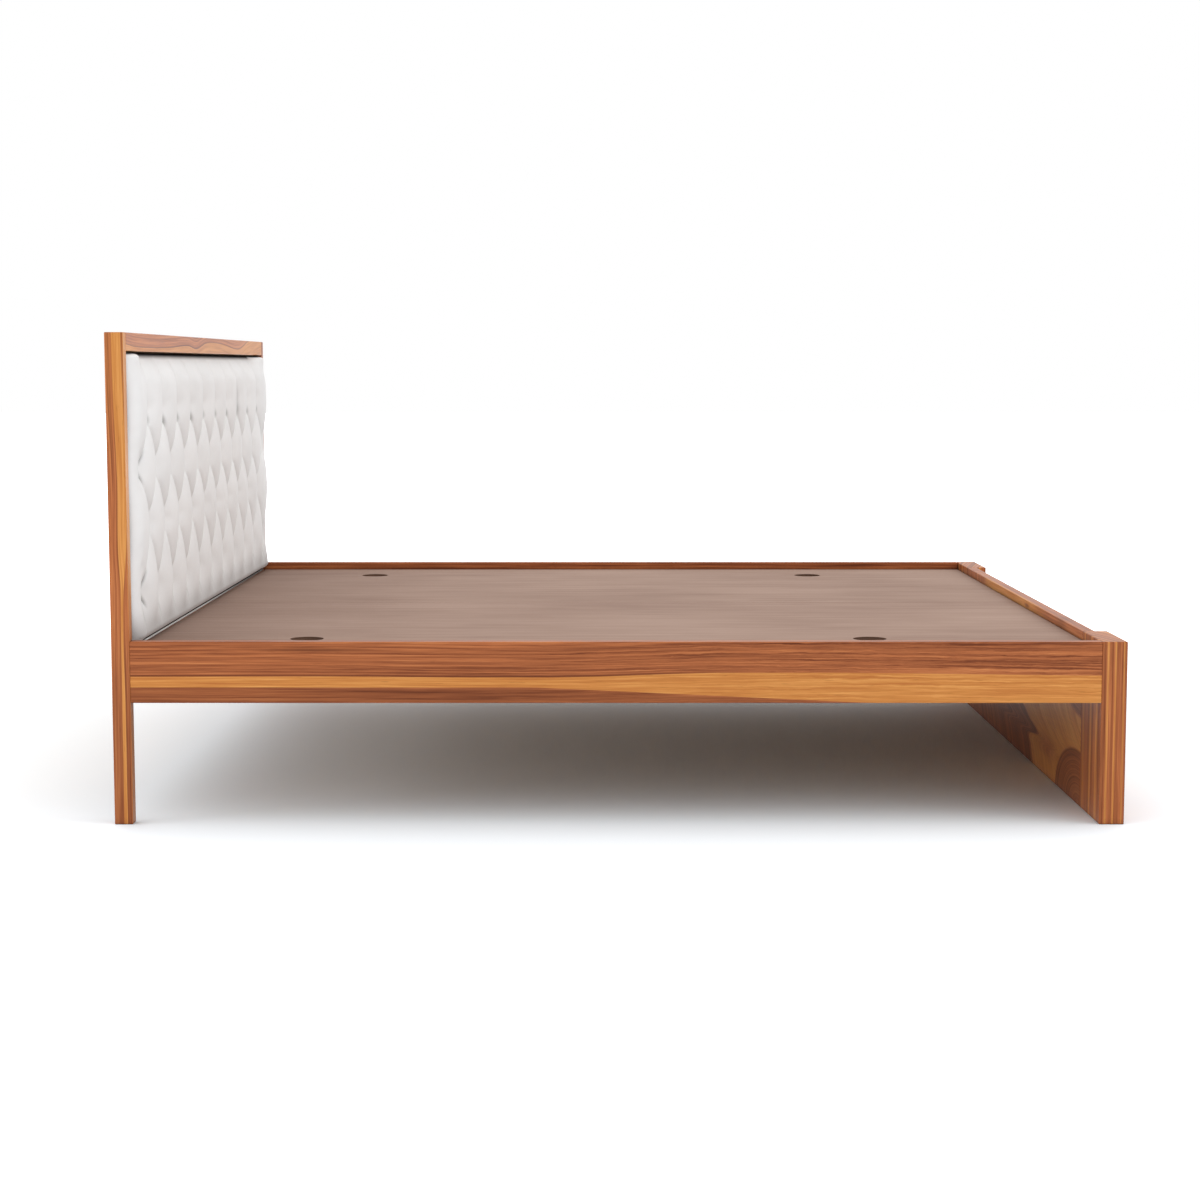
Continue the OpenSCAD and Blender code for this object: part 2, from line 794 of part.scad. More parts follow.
module barrel_nuts() {
  color(steel) both_sides() {
    at_head_bolts() translate([post_x + nut_in, 0, 0]) barrel_nut();
    at_foot_bolts() translate([leg_x + nut_in, 0, 0]) barrel_nut();
  }
}

// Push-in covers, flush with the wood
module bolt_caps() {
  color(dark_cap) both_sides() {
    at_head_bolts() bar_x([0, 0, 0], recess_d - 2 * fit_gap, cap_t);
    at_foot_bolts() bar_x([0, 0, 0], recess_d - 2 * fit_gap, cap_t);
  }
}

module rail_dowels() {
  l = dowel_in + dowel_end;
  color(plain_wood) both_sides() for (x = [x_post - dowel_in, x_leg - dowel_end])
    bar_x([x, -y_bolt, dowel_z], dowel_d, l);
}

headboard_post_near();
headboard_post_far();
headboard_top_rail();
headboard_bottom_rail();
headboard_back_panel();
upholstery_board();
foam_pad();
tufted_cover();
cover_welt();
tuft_ties();
upholstery_screws();
frame_dowels();
side_rail_near();
side_rail_far();
rail_cleat_near();
rail_cleat_far();
cleat_screws();
center_beam();
beam_hanger_head();
beam_hanger_foot();
hanger_screws();
batten(0);  // batten_1
batten(1);  // batten_2
batten(2);  // batten_3
batten(3);  // batten_4
batten(4);  // batten_5
batten(5);  // batten_6
batten(6);  // batten_7
batten(7);  // batten_8
batten(8);  // batten_9
batten(9);  // batten_10
batten_screws();
deck_panel_near();
deck_panel_far();
footboard_leg_near();
footboard_leg_far();
footboard_panel();
panel_dowels();
bed_bolts();
bolt_washers();
barrel_nuts();
bolt_caps();
rail_dowels();
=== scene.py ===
"""Looks of the upholstered bed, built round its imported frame.

Lengths are metres in the frame's own axes: X toward the foot, Y across the bed, Z up from the floor.
"""

import math

import bpy
import numpy as np
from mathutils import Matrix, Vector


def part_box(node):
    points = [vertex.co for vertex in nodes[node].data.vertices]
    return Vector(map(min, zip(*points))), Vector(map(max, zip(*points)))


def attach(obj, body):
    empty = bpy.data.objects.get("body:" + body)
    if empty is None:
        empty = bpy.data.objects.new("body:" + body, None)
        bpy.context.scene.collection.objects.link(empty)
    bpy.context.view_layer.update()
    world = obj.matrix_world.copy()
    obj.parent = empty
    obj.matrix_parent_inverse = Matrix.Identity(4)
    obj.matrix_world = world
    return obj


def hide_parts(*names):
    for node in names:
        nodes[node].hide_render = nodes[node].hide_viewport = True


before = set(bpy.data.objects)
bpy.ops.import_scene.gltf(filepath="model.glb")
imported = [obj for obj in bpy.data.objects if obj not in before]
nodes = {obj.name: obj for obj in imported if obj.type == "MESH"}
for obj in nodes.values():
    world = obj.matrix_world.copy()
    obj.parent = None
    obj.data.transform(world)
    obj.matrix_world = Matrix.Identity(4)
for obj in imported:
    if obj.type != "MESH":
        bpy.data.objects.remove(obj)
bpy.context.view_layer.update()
scene = bpy.context.scene

MM = 0.001


def srgb(red, green, blue):
    """Linear colour of an sRGB colour given from 0 to 255."""
    levels = [v / 255 for v in (red, green, blue)]
    return tuple(v / 12.92 if v <= 0.04045 else ((v + 0.055) / 1.055) ** 2.4 for v in levels) + (1.0,)


# Camera: solved from the straight edges of the bed in the photograph
CAMERA_PLACE = (-0.0401, -5.5358, 0.9444)
CAMERA_DOWN = math.radians(5.94)
CAMERA_LENS = 67.44
SENSOR = 36.0


def make_camera():
    data = bpy.data.cameras.new("camera")
    data.lens = CAMERA_LENS
    data.sensor_width = SENSOR
    data.sensor_fit = "HORIZONTAL"
    data.clip_end = 100
    camera = bpy.data.objects.new("camera", data)
    camera.location = CAMERA_PLACE
    camera.rotation_euler = (math.radians(90) - CAMERA_DOWN, 0, 0)
    scene.collection.objects.link(camera)
    scene.camera = camera


class Graph:
    """A material whose node tree is written as expressions on sockets."""

    def __init__(self, name, **settings):
        self.material = bpy.data.materials.new(name)
        self.material.use_nodes = True
        self.tree = self.material.node_tree
        self.tree.nodes.clear()
        self.output = self.add("OutputMaterial")
        self.shader = self.add("BsdfPrincipled")
        self.tree.links.new(self.shader.outputs[0], self.output.inputs["Surface"])
        for socket, value in settings.items():
            self.shader.inputs[socket.replace("_", " ")].default_value = value
        self.coords = self.add("TexCoord")

    def add(self, kind, **settings):
        node = self.tree.nodes.new("ShaderNode" + kind)
        for key, value in settings.items():
            setattr(node, key, value)
        return node

    def plug(self, node, values):
        for key, value in values.items():
            socket = node.inputs[key]
            if isinstance(value, bpy.types.NodeSocket):
                self.tree.links.new(value, socket)
            else:
                socket.default_value = value
        return node

    def place(self):
        """The point's place in the row frame, as three sockets. It moves with the piece."""
        split = self.plug(self.add("SeparateXYZ"), {0: self.coords.outputs["Object"]})
        return list(split.outputs)

    def facing(self):
        """The surface's direction in the piece's own axes, as three sockets."""
        split = self.plug(self.add("SeparateXYZ"), {0: self.coords.outputs["Normal"]})
        return list(split.outputs)

    def math(self, operation, a, b=0.0, c=0.0):
        return self.plug(self.add("Math", operation=operation), {0: a, 1: b, 2: c}).outputs[0]

    def sum(self, a, b):
        return self.math("ADD", a, b)

    def less(self, a, b):
        return self.math("SUBTRACT", a, b)

    def scaled(self, a, factor, offset=0.0):
        return self.math("MULTIPLY_ADD", a, factor, offset)

    def swing(self, share, size, about=0.0):
        """A share from 0 to 1, turned into a swing of a size about a value."""
        return self.scaled(share, size, about - size / 2)

    def vector(self, x, y, z=0.0):
        return self.plug(self.add("CombineXYZ"), {0: x, 1: y, 2: z}).outputs[0]

    def noise(self, vector, scale=1.0, detail=2.0, roughness=0.5):
        node = self.add("TexNoise", noise_dimensions="3D")
        values = {"Vector": vector, "Scale": scale, "Detail": detail, "Roughness": roughness}
        return self.plug(node, values).outputs["Fac"]

    def streaks(self, along, across, coarse, fine, detail, roughness=0.5, shift=0.0):
        """Noise drawn out along one direction. across lists the one or two others that it changes with,
        and shift moves it along."""
        places = [self.scaled(along, coarse, shift)] + [self.scaled(other, fine) for other in across]
        return self.noise(self.vector(*places), 1.0, detail, roughness)

    def blend(self, value, low, high, to_low=0.0, to_high=1.0):
        """A smooth step of value between low and high."""
        node = self.add("MapRange", interpolation_type="SMOOTHSTEP")
        return self.plug(node, {0: value, 1: low, 2: high, 3: to_low, 4: to_high}).outputs[0]

    def ramp(self, factor, stops):
        node = self.add("ValToRGB")
        ramp = node.color_ramp
        while len(ramp.elements) < len(stops):
            ramp.elements.new(1.0)
        for element, (at, colour) in zip(ramp.elements, stops):
            element.position = at
            element.color = colour
        return self.plug(node, {0: factor}).outputs[0]

    def curve(self, value, stops):
        """A smooth curve through stops, each a value and the height there."""
        places = [at for at, _ in stops]
        heights = [height for _, height in stops]
        span, rise = places[-1] - places[0], max(heights) - min(heights)
        levels = [(height - min(heights)) / rise for height in heights]
        node = self.add("ValToRGB")
        node.color_ramp.interpolation = "CARDINAL"
        while len(node.color_ramp.elements) < len(stops):
            node.color_ramp.elements.new(1.0)
        for element, at, level in zip(node.color_ramp.elements, places, levels):
            element.position = (at - places[0]) / span
            element.color = (level, level, level, 1.0)
        self.plug(node, {0: self.scaled(value, 1 / span, -places[0] / span)})
        return self.scaled(node.outputs[0], rise, min(heights))

    def either(self, *shares):
        """The largest of some shares."""
        most = shares[0]
        for share in shares[1:]:
            most = self.math("MAXIMUM", most, share)
        return most

    def both(self, *shares):
        """The product of some shares."""
        product = shares[0]
        for share in shares[1:]:
            product = self.math("MULTIPLY", product, share)
        return product

    def near(self, value, width):
        """1 where a value is 0, falling softly to 0 at a width on both sides."""
        return self.blend(self.math("ABSOLUTE", value), width, 0.0)

    def distance(self, a, b):
        """Length of the hypotenuse over two sides."""
        return self.math("SQRT", self.sum(self.both(a, a), self.both(b, b)))

    def ellipse(self, a, b, centre, radii):
        """Distance from a centre, counted in radii."""
        da = self.scaled(a, 1 / radii[0], -centre[0] / radii[0])
        db = self.scaled(b, 1 / radii[1], -centre[1] / radii[1])
        return self.distance(da, db)

    def open_sky(self, distance, samples=4):
        """Share of the surroundings within a distance that is open, from 0 to 1."""
        node = self.add("AmbientOcclusion", samples=samples)
        node.inputs["Distance"].default_value = distance
        return node.outputs["AO"]

    def mix(self, factor, a, b):
        return self.plug(self.add("Mix", data_type="RGBA"), {0: factor, 6: a, 7: b}).outputs[2]

    def painted_gap_shade(self, colour):
        """A colour darkened by painted shade where other pieces stand close."""
        return self.mix(self.blend(self.open_sky(GAP_REACH), 0.15, 0.5, 0.9, 0.0), colour, GAP_SHADE)

    def bump(self, height, distance, strength=1.0, normal=None):
        node = self.plug(self.add("Bump"), {"Height": height, "Distance": distance, "Strength": strength})
        if normal is not None:
            self.plug(node, {"Normal": normal})
        return node.outputs[0]

    def rounded_edge(self, radius):
        node = self.add("Bevel", samples=4)
        node.inputs["Radius"].default_value = radius
        return node.outputs[0]

    def finish(self, colour, roughness=None, normal=None):
        self.plug(self.shader, {"Base Color": colour})
        if roughness is not None:
            self.plug(self.shader, {"Roughness": roughness})
        if normal is not None:
            self.plug(self.shader, {"Normal": normal})
        return self.material


# Colours of the hardwood, from its dark growth lines to its pale sapwood
DARK_LINE = srgb(92, 46, 26)
RED_BROWN = srgb(136, 74, 44)
MID_BROWN = srgb(163, 94, 57)
ORANGE_BROWN = srgb(184, 108, 65)
LIGHT_STREAK = srgb(206, 131, 80)
GOLD_SHADE = srgb(188, 114, 58)
GOLD = srgb(208, 136, 70)
GOLD_LIGHT = srgb(228, 160, 90)

# Colour of the painted shade in narrow gaps, and how near the next piece stands there
GAP_SHADE = srgb(30, 18, 12)
GAP_REACH = 30 * MM

# Colour of the white light and of the glow of the floor
WHITE_LIGHT = (1.0, 1.0, 1.0, 1.0)

# For each direction of the grain, the axes along, beside and above it
AXES = {"X": (0, 1, 2), "Y": (1, 0, 2), "Z": (2, 0, 1)}


def hardwood(name, grain, seed, figure, lift=0.0):
    """Rosewood with a satin finish. For a point along, beside and above the grain,
    figure(graph, along, side, up) gives the level of its growth line in metres and its shares of
    sapwood and of dark heartwood. lift makes the wood paler."""
    g = Graph(name, Specular_IOR_Level=0.10)
    place = g.place()
    along, side, up = (place[i] for i in AXES[grain])
    level, gold, dark = figure(g, along, side, up)
    # the lines wander a little on their way
    drift = g.streaks(along, [level], 1.6, 22.0, 3.0, shift=seed)
    level = g.sum(level, g.swing(drift, 9 * MM))
    zones = g.streaks(along, [level], 0.9, 48.0, 2.0, shift=seed)
    lines = g.streaks(along, [level], 1.8, 230.0, 4.0, 0.72, seed)
    fibre = g.streaks(along, [side, up], 9.0, 420.0, 2.0, shift=seed)
    tone = g.sum(g.scaled(lines, 0.78), g.scaled(zones, 0.28, -0.03))
    tone = g.sum(tone, g.swing(fibre, 0.24, lift))
    colour = g.ramp(tone, [(0.32, DARK_LINE), (0.42, RED_BROWN), (0.50, MID_BROWN), (0.58, ORANGE_BROWN),
                           (0.69, LIGHT_STREAK)])
    colour = g.mix(g.scaled(dark, 0.85), colour, DARK_LINE)
    sap_lines = g.streaks(along, [level], 3.2, 170.0, 2.0, 0.6, seed)
    sap_tone = g.sum(g.scaled(sap_lines, 0.7, 0.15), g.swing(fibre, 0.3, lift))
    sap = g.ramp(sap_tone, [(0.34, GOLD_SHADE), (0.5, GOLD), (0.66, GOLD_LIGHT)])
    colour = g.mix(gold, colour, sap)
    pores = g.streaks(along, [side, up], 30.0, 700.0, 1.0, shift=seed)
    pore_mask = g.blend(pores, 0.30, 0.22)
    colour = g.mix(g.scaled(pore_mask, 0.35), colour, DARK_LINE)
    # painted shade in narrow gaps between pieces
    colour = g.painted_gap_shade(colour)
    roughness = g.sum(g.scaled(lines, -0.12, 0.40), g.swing(fibre, 0.10))
    height = g.less(g.scaled(fibre, 0.5), pore_mask)
    normal = g.bump(height, 0.08 * MM, 0.6, g.rounded_edge(1.2 * MM))
    return g.finish(colour, roughness, normal)


def round_figure(side_pith, up_pith):
    """Growth rings round a pith line beside the piece."""
    def figure(g, along, side, up):
        return g.ellipse(side, up, (side_pith, up_pith), (1.0, 1.0)), 0.0, 0.0
    return figure


def rail_figure(g, along, side, up):
    """A sapwood band low on the rail, widening toward the foot, with the lines above it bending along."""
    upper = g.curve(along, [(-1.0, 0.3085), (-0.6, 0.3092), (-0.3, 0.3075), (-0.05, 0.309), (0.2, 0.317),
                            (0.6, 0.3155), (1.0, 0.311)])
    lower = g.scaled(g.math("MAXIMUM", g.sum(along, 0.17), 0.0), -0.0465, 0.2865)
    edge = 0.8 * MM
    over = g.less(up, upper)
    gold = g.both(g.blend(g.less(up, lower), -edge, edge), g.blend(over, edge, -edge))
    # a dark line on the band, a dark streak near the top and a darker foot under the band
    line = g.both(g.blend(g.math("ABSOLUTE", g.scaled(over, 1.0, -2.0 * MM)), 2.6 * MM, 1.0 * MM),
                  g.blend(along, 0.3, 0.0))
    streak = g.blend(g.ellipse(along, up, (-0.63, 0.3645), (0.17, 6 * MM)), 1.0, 0.1)
    foot = g.blend(g.less(up, lower), 0.0, -4 * MM, 0.0, 0.36)
    dark = g.either(g.scaled(line, 0.75), g.scaled(streak, 0.75), foot)
    # short ripples toward the foot
    ripple = g.noise(g.vector(g.scaled(along, 22.0), g.scaled(up, 150.0), g.scaled(side, 20.0)), 1.0, 3.0)
    ripple = g.both(g.swing(ripple, 8 * MM), g.blend(along, -0.5, 0.5, 0.15, 1.0))
    level = g.sum(g.scaled(over, 1.0, 0.3), g.sum(ripple, g.scaled(side, 0.4)))
    return level, gold, dark


def post_figure(g, along, side, up):
    """A sapwood band down the post, narrowing on its way, and a pale front face above the rail."""
    left = g.curve(along, [(0.0, 0.52), (0.25, 0.55), (0.39, 0.56), (0.49, 0.59), (0.57, 0.50),
                           (0.71, 0.54), (0.86, 0.42), (1.013, 0.36)])
    right = g.curve(along, [(0.0, 0.72), (0.25, 0.73), (0.39, 0.70), (0.49, 0.77), (0.57, 0.95),
                            (0.71, 1.0), (0.86, 0.96), (1.013, 0.87)])
    low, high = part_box("headboard_post_near")
    width = high.x - low.x
    across = g.scaled(side, 1 / width, -low.x / width)
    band = g.both(g.blend(g.less(across, left), -0.03, 0.04), g.blend(g.less(right, across), -0.02, 0.03))
    front = g.both(g.blend(across, 0.965, 0.99), g.blend(along, 0.36, 0.62, 0.25, 1.0))
    top = g.blend(along, 0.70, 0.90, 0.0, 0.2)
    foot = g.blend(along, 0.45, 0.25, 0.0, 0.32)
    seam = g.both(g.near(g.less(across, right), 0.05), g.blend(along, 0.4, 0.6))
    level = g.sum(g.scaled(g.less(across, left), width, 0.1), g.scaled(up, 0.5))
    return level, g.either(band, front, top), g.either(g.scaled(seam, 0.5), foot)


def stripe_figure(leg, inward):
    """Straight growth lines that run round a leg's outer corner: across its narrow face, and on across
    its wide one. inward is the sign of the way in from the leg's outer side."""
    low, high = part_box(leg)
    thick, wide = high.x - low.x, high.y - low.y
    outer = low.y if inward > 0 else high.y

    def figure(g, along, side, up):
        across = g.sum(g.scaled(side, 1 / thick, -low.x / thick),
                       g.scaled(up, inward / wide, -outer * inward / wide))
        sway = g.noise(g.vector(g.scaled(along, 1.2, 4.0), across), 1.0, 1.0)
        across = g.sum(across, g.swing(sway, 0.09))
        tone = g.curve(across, LEG_STRIPES)
        gold = g.blend(tone, 0.5, 0.72)
        dark = g.blend(tone, 0.42, 0.15, 0.0, 0.5)
        return g.scaled(across, 0.05), gold, dark
    return figure


def foot_panel_figure(g, along, side, up):
    """Large figure of a wide board: a dark heart toward the far side, an arch toward the near side and
    pale wood between them and along the top."""
    edge = g.curve(up, [(0.0, -0.235), (0.043, -0.205), (0.068, -0.19), (0.083, -0.30), (0.102, -0.20),
                        (0.124, -0.107), (0.17, 0.0), (0.25, 0.10), (0.381, 0.16)])
    past = g.less(along, edge)
    heart = g.blend(past, -15 * MM, 15 * MM)
    arch = g.ellipse(along, up, (-0.74, 0.0), (0.235, 0.117))
    in_arch = g.blend(arch, 1.03, 0.97)
    upper = g.ellipse(along, up, (-0.78, 0.27), (0.22, 0.075))
    in_upper = g.blend(upper, 1.05, 0.95)
    low = g.blend(up, 0.33, 0.29)
    # above the deck: stripes at the far end, pale in the middle and redder toward the near side
    top = g.blend(up, 0.29, 0.33)
    top_pale = g.both(g.blend(along, 0.50, 0.42), g.blend(along, -0.40, -0.20), top,
                      g.blend(side, 0.9965, 0.9945))
    low_pale = g.both(low, g.blend(past, 5 * MM, -20 * MM), g.blend(arch, 0.98, 1.06),
                      g.blend(upper, 1.0, 1.1))
    rim = g.both(g.near(g.scaled(past, 1.0, -35 * MM), 55 * MM), low)
    knot = g.blend(g.ellipse(along, up, (-0.127, 0.368), (0.045, 0.009)), 1.0, 0.2)
    bar = g.both(g.near(g.scaled(along, 1.0, 0.53), 0.09), top)
    flame = g.blend(g.ellipse(along, up, (-0.40, 0.07), (0.14, 0.035)), 1.1, 0.2)
    dark = g.either(g.both(heart, low, 0.5), g.scaled(rim, 0.85), g.both(in_arch, 0.42),
                    g.scaled(g.near(g.scaled(arch, 1.0, -0.98), 0.06), 0.7), g.both(in_upper, low, 0.45),
                    g.scaled(knot, 0.5), g.scaled(bar, 0.45))
    pale = g.either(top_pale, g.both(low_pale, g.scaled(flame, -0.5, 0.8)))
    gold = g.both(pale, g.scaled(knot, -0.8, 1.0))
    bend = g.either(in_arch, in_upper)
    level = g.mix(bend, g.scaled(past, 0.25), g.scaled(g.math("MINIMUM", arch, upper), 0.11))
    level = g.mix(g.both(top, g.blend(along, 0.5, 0.4)), level, g.scaled(up, 0.6))
    return g.sum(level, g.scaled(side, 0.8)), gold, dark


def top_rail_figure(g, along, side, up):
    """A dark wavy line low on the rail, pale wood under it and lines that follow it above."""
    line = g.curve(along, [(-0.93, 0.989), (-0.84, 0.984), (-0.6, 0.983), (-0.4, 0.9865), (-0.22, 0.991),
                           (-0.11, 0.985), (0.01, 0.999), (0.2, 1.001), (0.35, 0.995), (0.48, 0.989),
                           (0.56, 0.993), (0.64, 1.006), (0.75, 1.02), (0.93, 1.04)])
    over = g.less(up, line)
    gold = g.blend(over, 0.6 * MM, -1.2 * MM, 0.0, 0.7)
    dark = g.scaled(g.near(g.scaled(over, 1.0, -1.2 * MM), 2.4 * MM), 0.6)
    return g.sum(over, g.scaled(side, 0.6)), gold, dark


# Tones from dark to pale across a leg, which the photograph shows, each at its share of the narrow face
# and, from 1 on, of the wide one. They start at the corner that both visible faces share.
LEG_STRIPES = [(0.0, 0.45), (0.09, 0.24), (0.17, 0.54), (0.24, 0.64), (0.32, 0.44), (0.40, 0.32),
               (0.47, 0.52), (0.54, 0.66), (0.60, 0.44), (0.66, 0.28), (0.72, 0.50), (0.79, 0.40),
               (0.87, 0.64), (0.93, 0.44), (1.0, 0.30), (1.08, 0.58), (1.15, 0.34), (1.24, 0.66),
               (1.33, 0.28), (1.45, 0.62), (1.53, 0.34), (1.65, 0.74), (1.78, 0.54), (2.0, 0.40)]


def paint(names, material):
    for name in names:
        node = nodes[name]
        if not node.material_slots:
            node.data.materials.append(material)
        for slot in node.material_slots:
            slot.material = material


def dress_wood():
    # each piece with its material, the axis of its grain, its seed, its figure and its lift
    pieces = [
        ("side_rail_near", "rail_near_wood", "X", 3.1, rail_figure, 0.0),
        ("side_rail_far", "rail_far_wood", "X", 8.4, round_figure(1.05, 0.20), 0.0),
        ("headboard_post_near", "post_near_wood", "Z", 1.7, post_figure, 0.04),
        ("headboard_post_far", "post_far_wood", "Z", 5.2, round_figure(-0.90, 1.05), 0.0),
        ("headboard_top_rail", "top_rail_wood", "Y", 2.6, top_rail_figure, 0.10),
        ("headboard_bottom_rail", "bottom_rail_wood", "Y", 6.6, round_figure(-0.95, 0.15), 0.0),
        ("footboard_leg_near", "leg_near_wood", "Z", 4.3, stripe_figure("footboard_leg_near", 1.0), 0.04),
        ("footboard_leg_far", "leg_far_wood", "Z", 9.8, stripe_figure("footboard_leg_far", -1.0), 0.04),
        ("footboard_panel", "foot_panel_wood", "Y", 7.5, foot_panel_figure, 0.05),
    ]
    for piece, wood, grain, seed, figure, lift in pieces:
        paint([piece], hardwood(wood, grain, seed, figure, lift))


def plain_timber(name, grain):
    """Planed softwood with straight grain."""
    g = Graph(name)
    place = g.place()
    along, side, up = (place[i] for i in AXES[grain])
    lines = g.streaks(along, [side, up], 1.2, 60.0, 3.0, 0.6)
    fibre = g.streaks(along, [side, up], 10.0, 500.0, 2.0)
    tone = g.sum(g.scaled(lines, 0.8), g.scaled(fibre, 0.2))
    stops = [(0.34, srgb(178, 132, 84)), (0.48, srgb(208, 168, 118)), (0.66, srgb(226, 194, 148))]
    normal = g.bump(fibre, 0.1 * MM, 0.6, g.rounded_edge(1.0 * MM))
    return g.finish(g.ramp(tone, stops), g.scaled(fibre, 0.12, 0.56), normal)


def dress_plain():
    paint(["rail_cleat_near", "rail_cleat_far", "center_beam"], plain_timber("beam_timber", "X"))
    paint([f"batten_{i}" for i in range(1, 11)], plain_timber("batten_timber", "Y"))
    paint(["rail_dowels"], plain_timber("dowel_timber_x", "X"))
    paint(["frame_dowels", "panel_dowels"], plain_timber("dowel_timber_y", "Y"))


def plywood(name, face_colours, ply_colours, thin_axis, ply, shaded=False):
    """Plywood: a grained face, and on the edges its plies, each as thick as ply. A shaded board gets
    painted shade toward all that stands round it, and any other gets painted shade only in narrow gaps."""
    g = Graph(name, Specular_IOR_Level=0.15)
    place = g.place()
    x, y, z = place
    grain = g.streaks(x, [y, z], 3.0, 140.0, 4.0, 0.65)
    cloud = g.streaks(x, [y, z], 2.0, 4.0, 3.0, 0.6)
    tone = g.sum(g.scaled(grain, 0.6), g.scaled(cloud, 0.4))
    face = g.ramp(tone, list(zip((0.34, 0.5, 0.66), face_colours)))
    plies = g.math("SINE", g.scaled(place[thin_axis], math.pi / ply))
    edge = g.ramp(g.scaled(plies, 0.5, 0.5), list(zip((0.3, 0.7), ply_colours)))
    flat = g.blend(g.math("ABSOLUTE", g.facing()[thin_axis]), 0.6, 0.8)
    fibre = g.streaks(x, [y, z], 12.0, 600.0, 2.0)
    normal = g.bump(fibre, 0.06 * MM, 0.5, g.rounded_edge(0.8 * MM))
    colour = g.mix(flat, edge, face)
    if shaded:
        # painted shade: darker toward all that stands round the board
        colour = g.mix(g.blend(g.open_sky(0.6), 0.45, 0.98, 0.43, 0.0), colour, srgb(88, 64, 52))
    else:
        # painted shade in narrow gaps between pieces
        colour = g.painted_gap_shade(colour)
    return g.finish(colour, g.scaled(fibre, 0.12, 0.7), normal)


def dress_boards():
    deck = [srgb(150, 122, 108), srgb(168, 140, 125), srgb(180, 152, 137)]
    bare = [srgb(186, 148, 104), srgb(204, 168, 124), srgb(218, 186, 144)]
    deck_plies = (srgb(84, 60, 48), srgb(124, 96, 78))
    bare_plies = (srgb(120, 86, 60), srgb(186, 146, 104))
    paint(["deck_panel_near", "deck_panel_far"],
          plywood("deck_board", deck, deck_plies, 2, 2.4 * MM, shaded=True))
    paint(["headboard_back_panel", "upholstery_board"],
          plywood("bare_plywood", bare, bare_plies, 0, 1.5 * MM))


def metal(name, colour, roughness):
    g = Graph(name, Metallic=1.0)
    fine = g.noise(g.coords.outputs["Object"], 900.0, 3.0)
    broad = g.noise(g.coords.outputs["Object"], 60.0, 2.0)
    tint = g.mix(g.blend(broad, 0.35, 0.7), colour, srgb(150, 150, 146))
    return g.finish(tint, g.swing(fine, 0.2, roughness), g.bump(fine, 0.02 * MM, 0.5))


def dress_fittings():
    zinc = metal("zinc_screws", srgb(190, 188, 180), 0.32)
    paint(["upholstery_screws", "cleat_screws", "hanger_screws", "batten_screws", "bed_bolts",
           "bolt_washers", "barrel_nuts"], zinc)
    paint(["beam_hanger_head", "beam_hanger_foot"], metal("zinc_sheet", srgb(178, 180, 180), 0.4))
    g = Graph("cap_plastic", Roughness=0.5)
    grit = g.noise(g.coords.outputs["Object"], 1400.0, 2.0)
    colour = g.ramp(grit, [(0.35, srgb(96, 54, 34)), (0.65, srgb(112, 64, 40))])
    paint(["bolt_caps"], g.finish(colour, None, g.bump(grit, 0.03 * MM, 0.6, g.rounded_edge(0.6 * MM))))
    g = Graph("twine", Roughness=0.8)
    lay = g.noise(g.coords.outputs["Object"], 1800.0, 2.0)
    colour = g.ramp(lay, [(0.35, srgb(186, 172, 144)), (0.65, srgb(214, 204, 178))])
    paint(["tuft_ties"], g.finish(colour, None, g.bump(lay, 0.2 * MM)))


# Tufted cover: its tufts, placed as in its solid
TUFT_COLS = 11
TUFT_ROWS = 4
# How far the outermost tufts lie from the cover's sides, top and bottom
TUFT_SIDE = 76.5 * MM
TUFT_TOP = 127 * MM
TUFT_LOW = 104 * MM
# How much further the bottom row lies from the next one than the other rows do
LOW_ROW_DROP = 25 * MM
# Radius and extra depth of the dimple at each tuft
TUFT_REACH = 28 * MM
PULL = 8 * MM
# Widths of the rolled edges, and the slack above the roll at the top
SIDE_ROLL = 40 * MM
TOP_ROLL = 66 * MM
LOW_ROLL = 18 * MM
TOP_SLACK = 3.2 * MM
# Raised corners: their roll, and where they start and are fully up, from the side
EAR_ROLL = 9 * MM
EAR_IN = 150 * MM
EAR_OUT = 45 * MM
# Height of the crown, and depth of the creases and of the side border's dips
CROWN = 36 * MM
CREASE = 17 * MM
SIDE_SINK = 9 * MM
# Width over which the creases turn into the side border
SIDE_BORDER = 35 * MM
# Share that the fullness loses below the bottom row, and the fullness at the foot
LOW_SLACK = 0.3
FOOT_FULL = 0.6
# Wall of the cover, its clearance from the foam, and the foam's dimples and soft edge
COVER_WALL = 3 * MM
CLEARANCE = 0.3 * MM
FOAM_DIMPLE = 5 * MM
FOAM_EDGE = 3 * MM
# Simulated sheet: its grid, its frames, how many degrees of hold it has, and the most that it may move
CLOTH_STEP = 6 * MM
CLOTH_FRAMES = 20
HOLD_DEGREES = 20
CLOTH_CAP = 7 * MM
# Largest squares of the cover's mesh and of the foam's
COVER_STEP = 4.2 * MM
FOAM_STEP = 9 * MM
# Place across the bed of the tuft with the long wrinkle
LONG_WRINKLE = 0.41
# Height of the cover's strip that lies in the gap under the top rail, in a copy of the cloth
# without sheen that keeps its painted shade dark
GAP_STRIP = 6.5 * MM
# Colours of the white cloth
WHITE = (srgb(240, 239, 238), srgb(246, 245, 244))


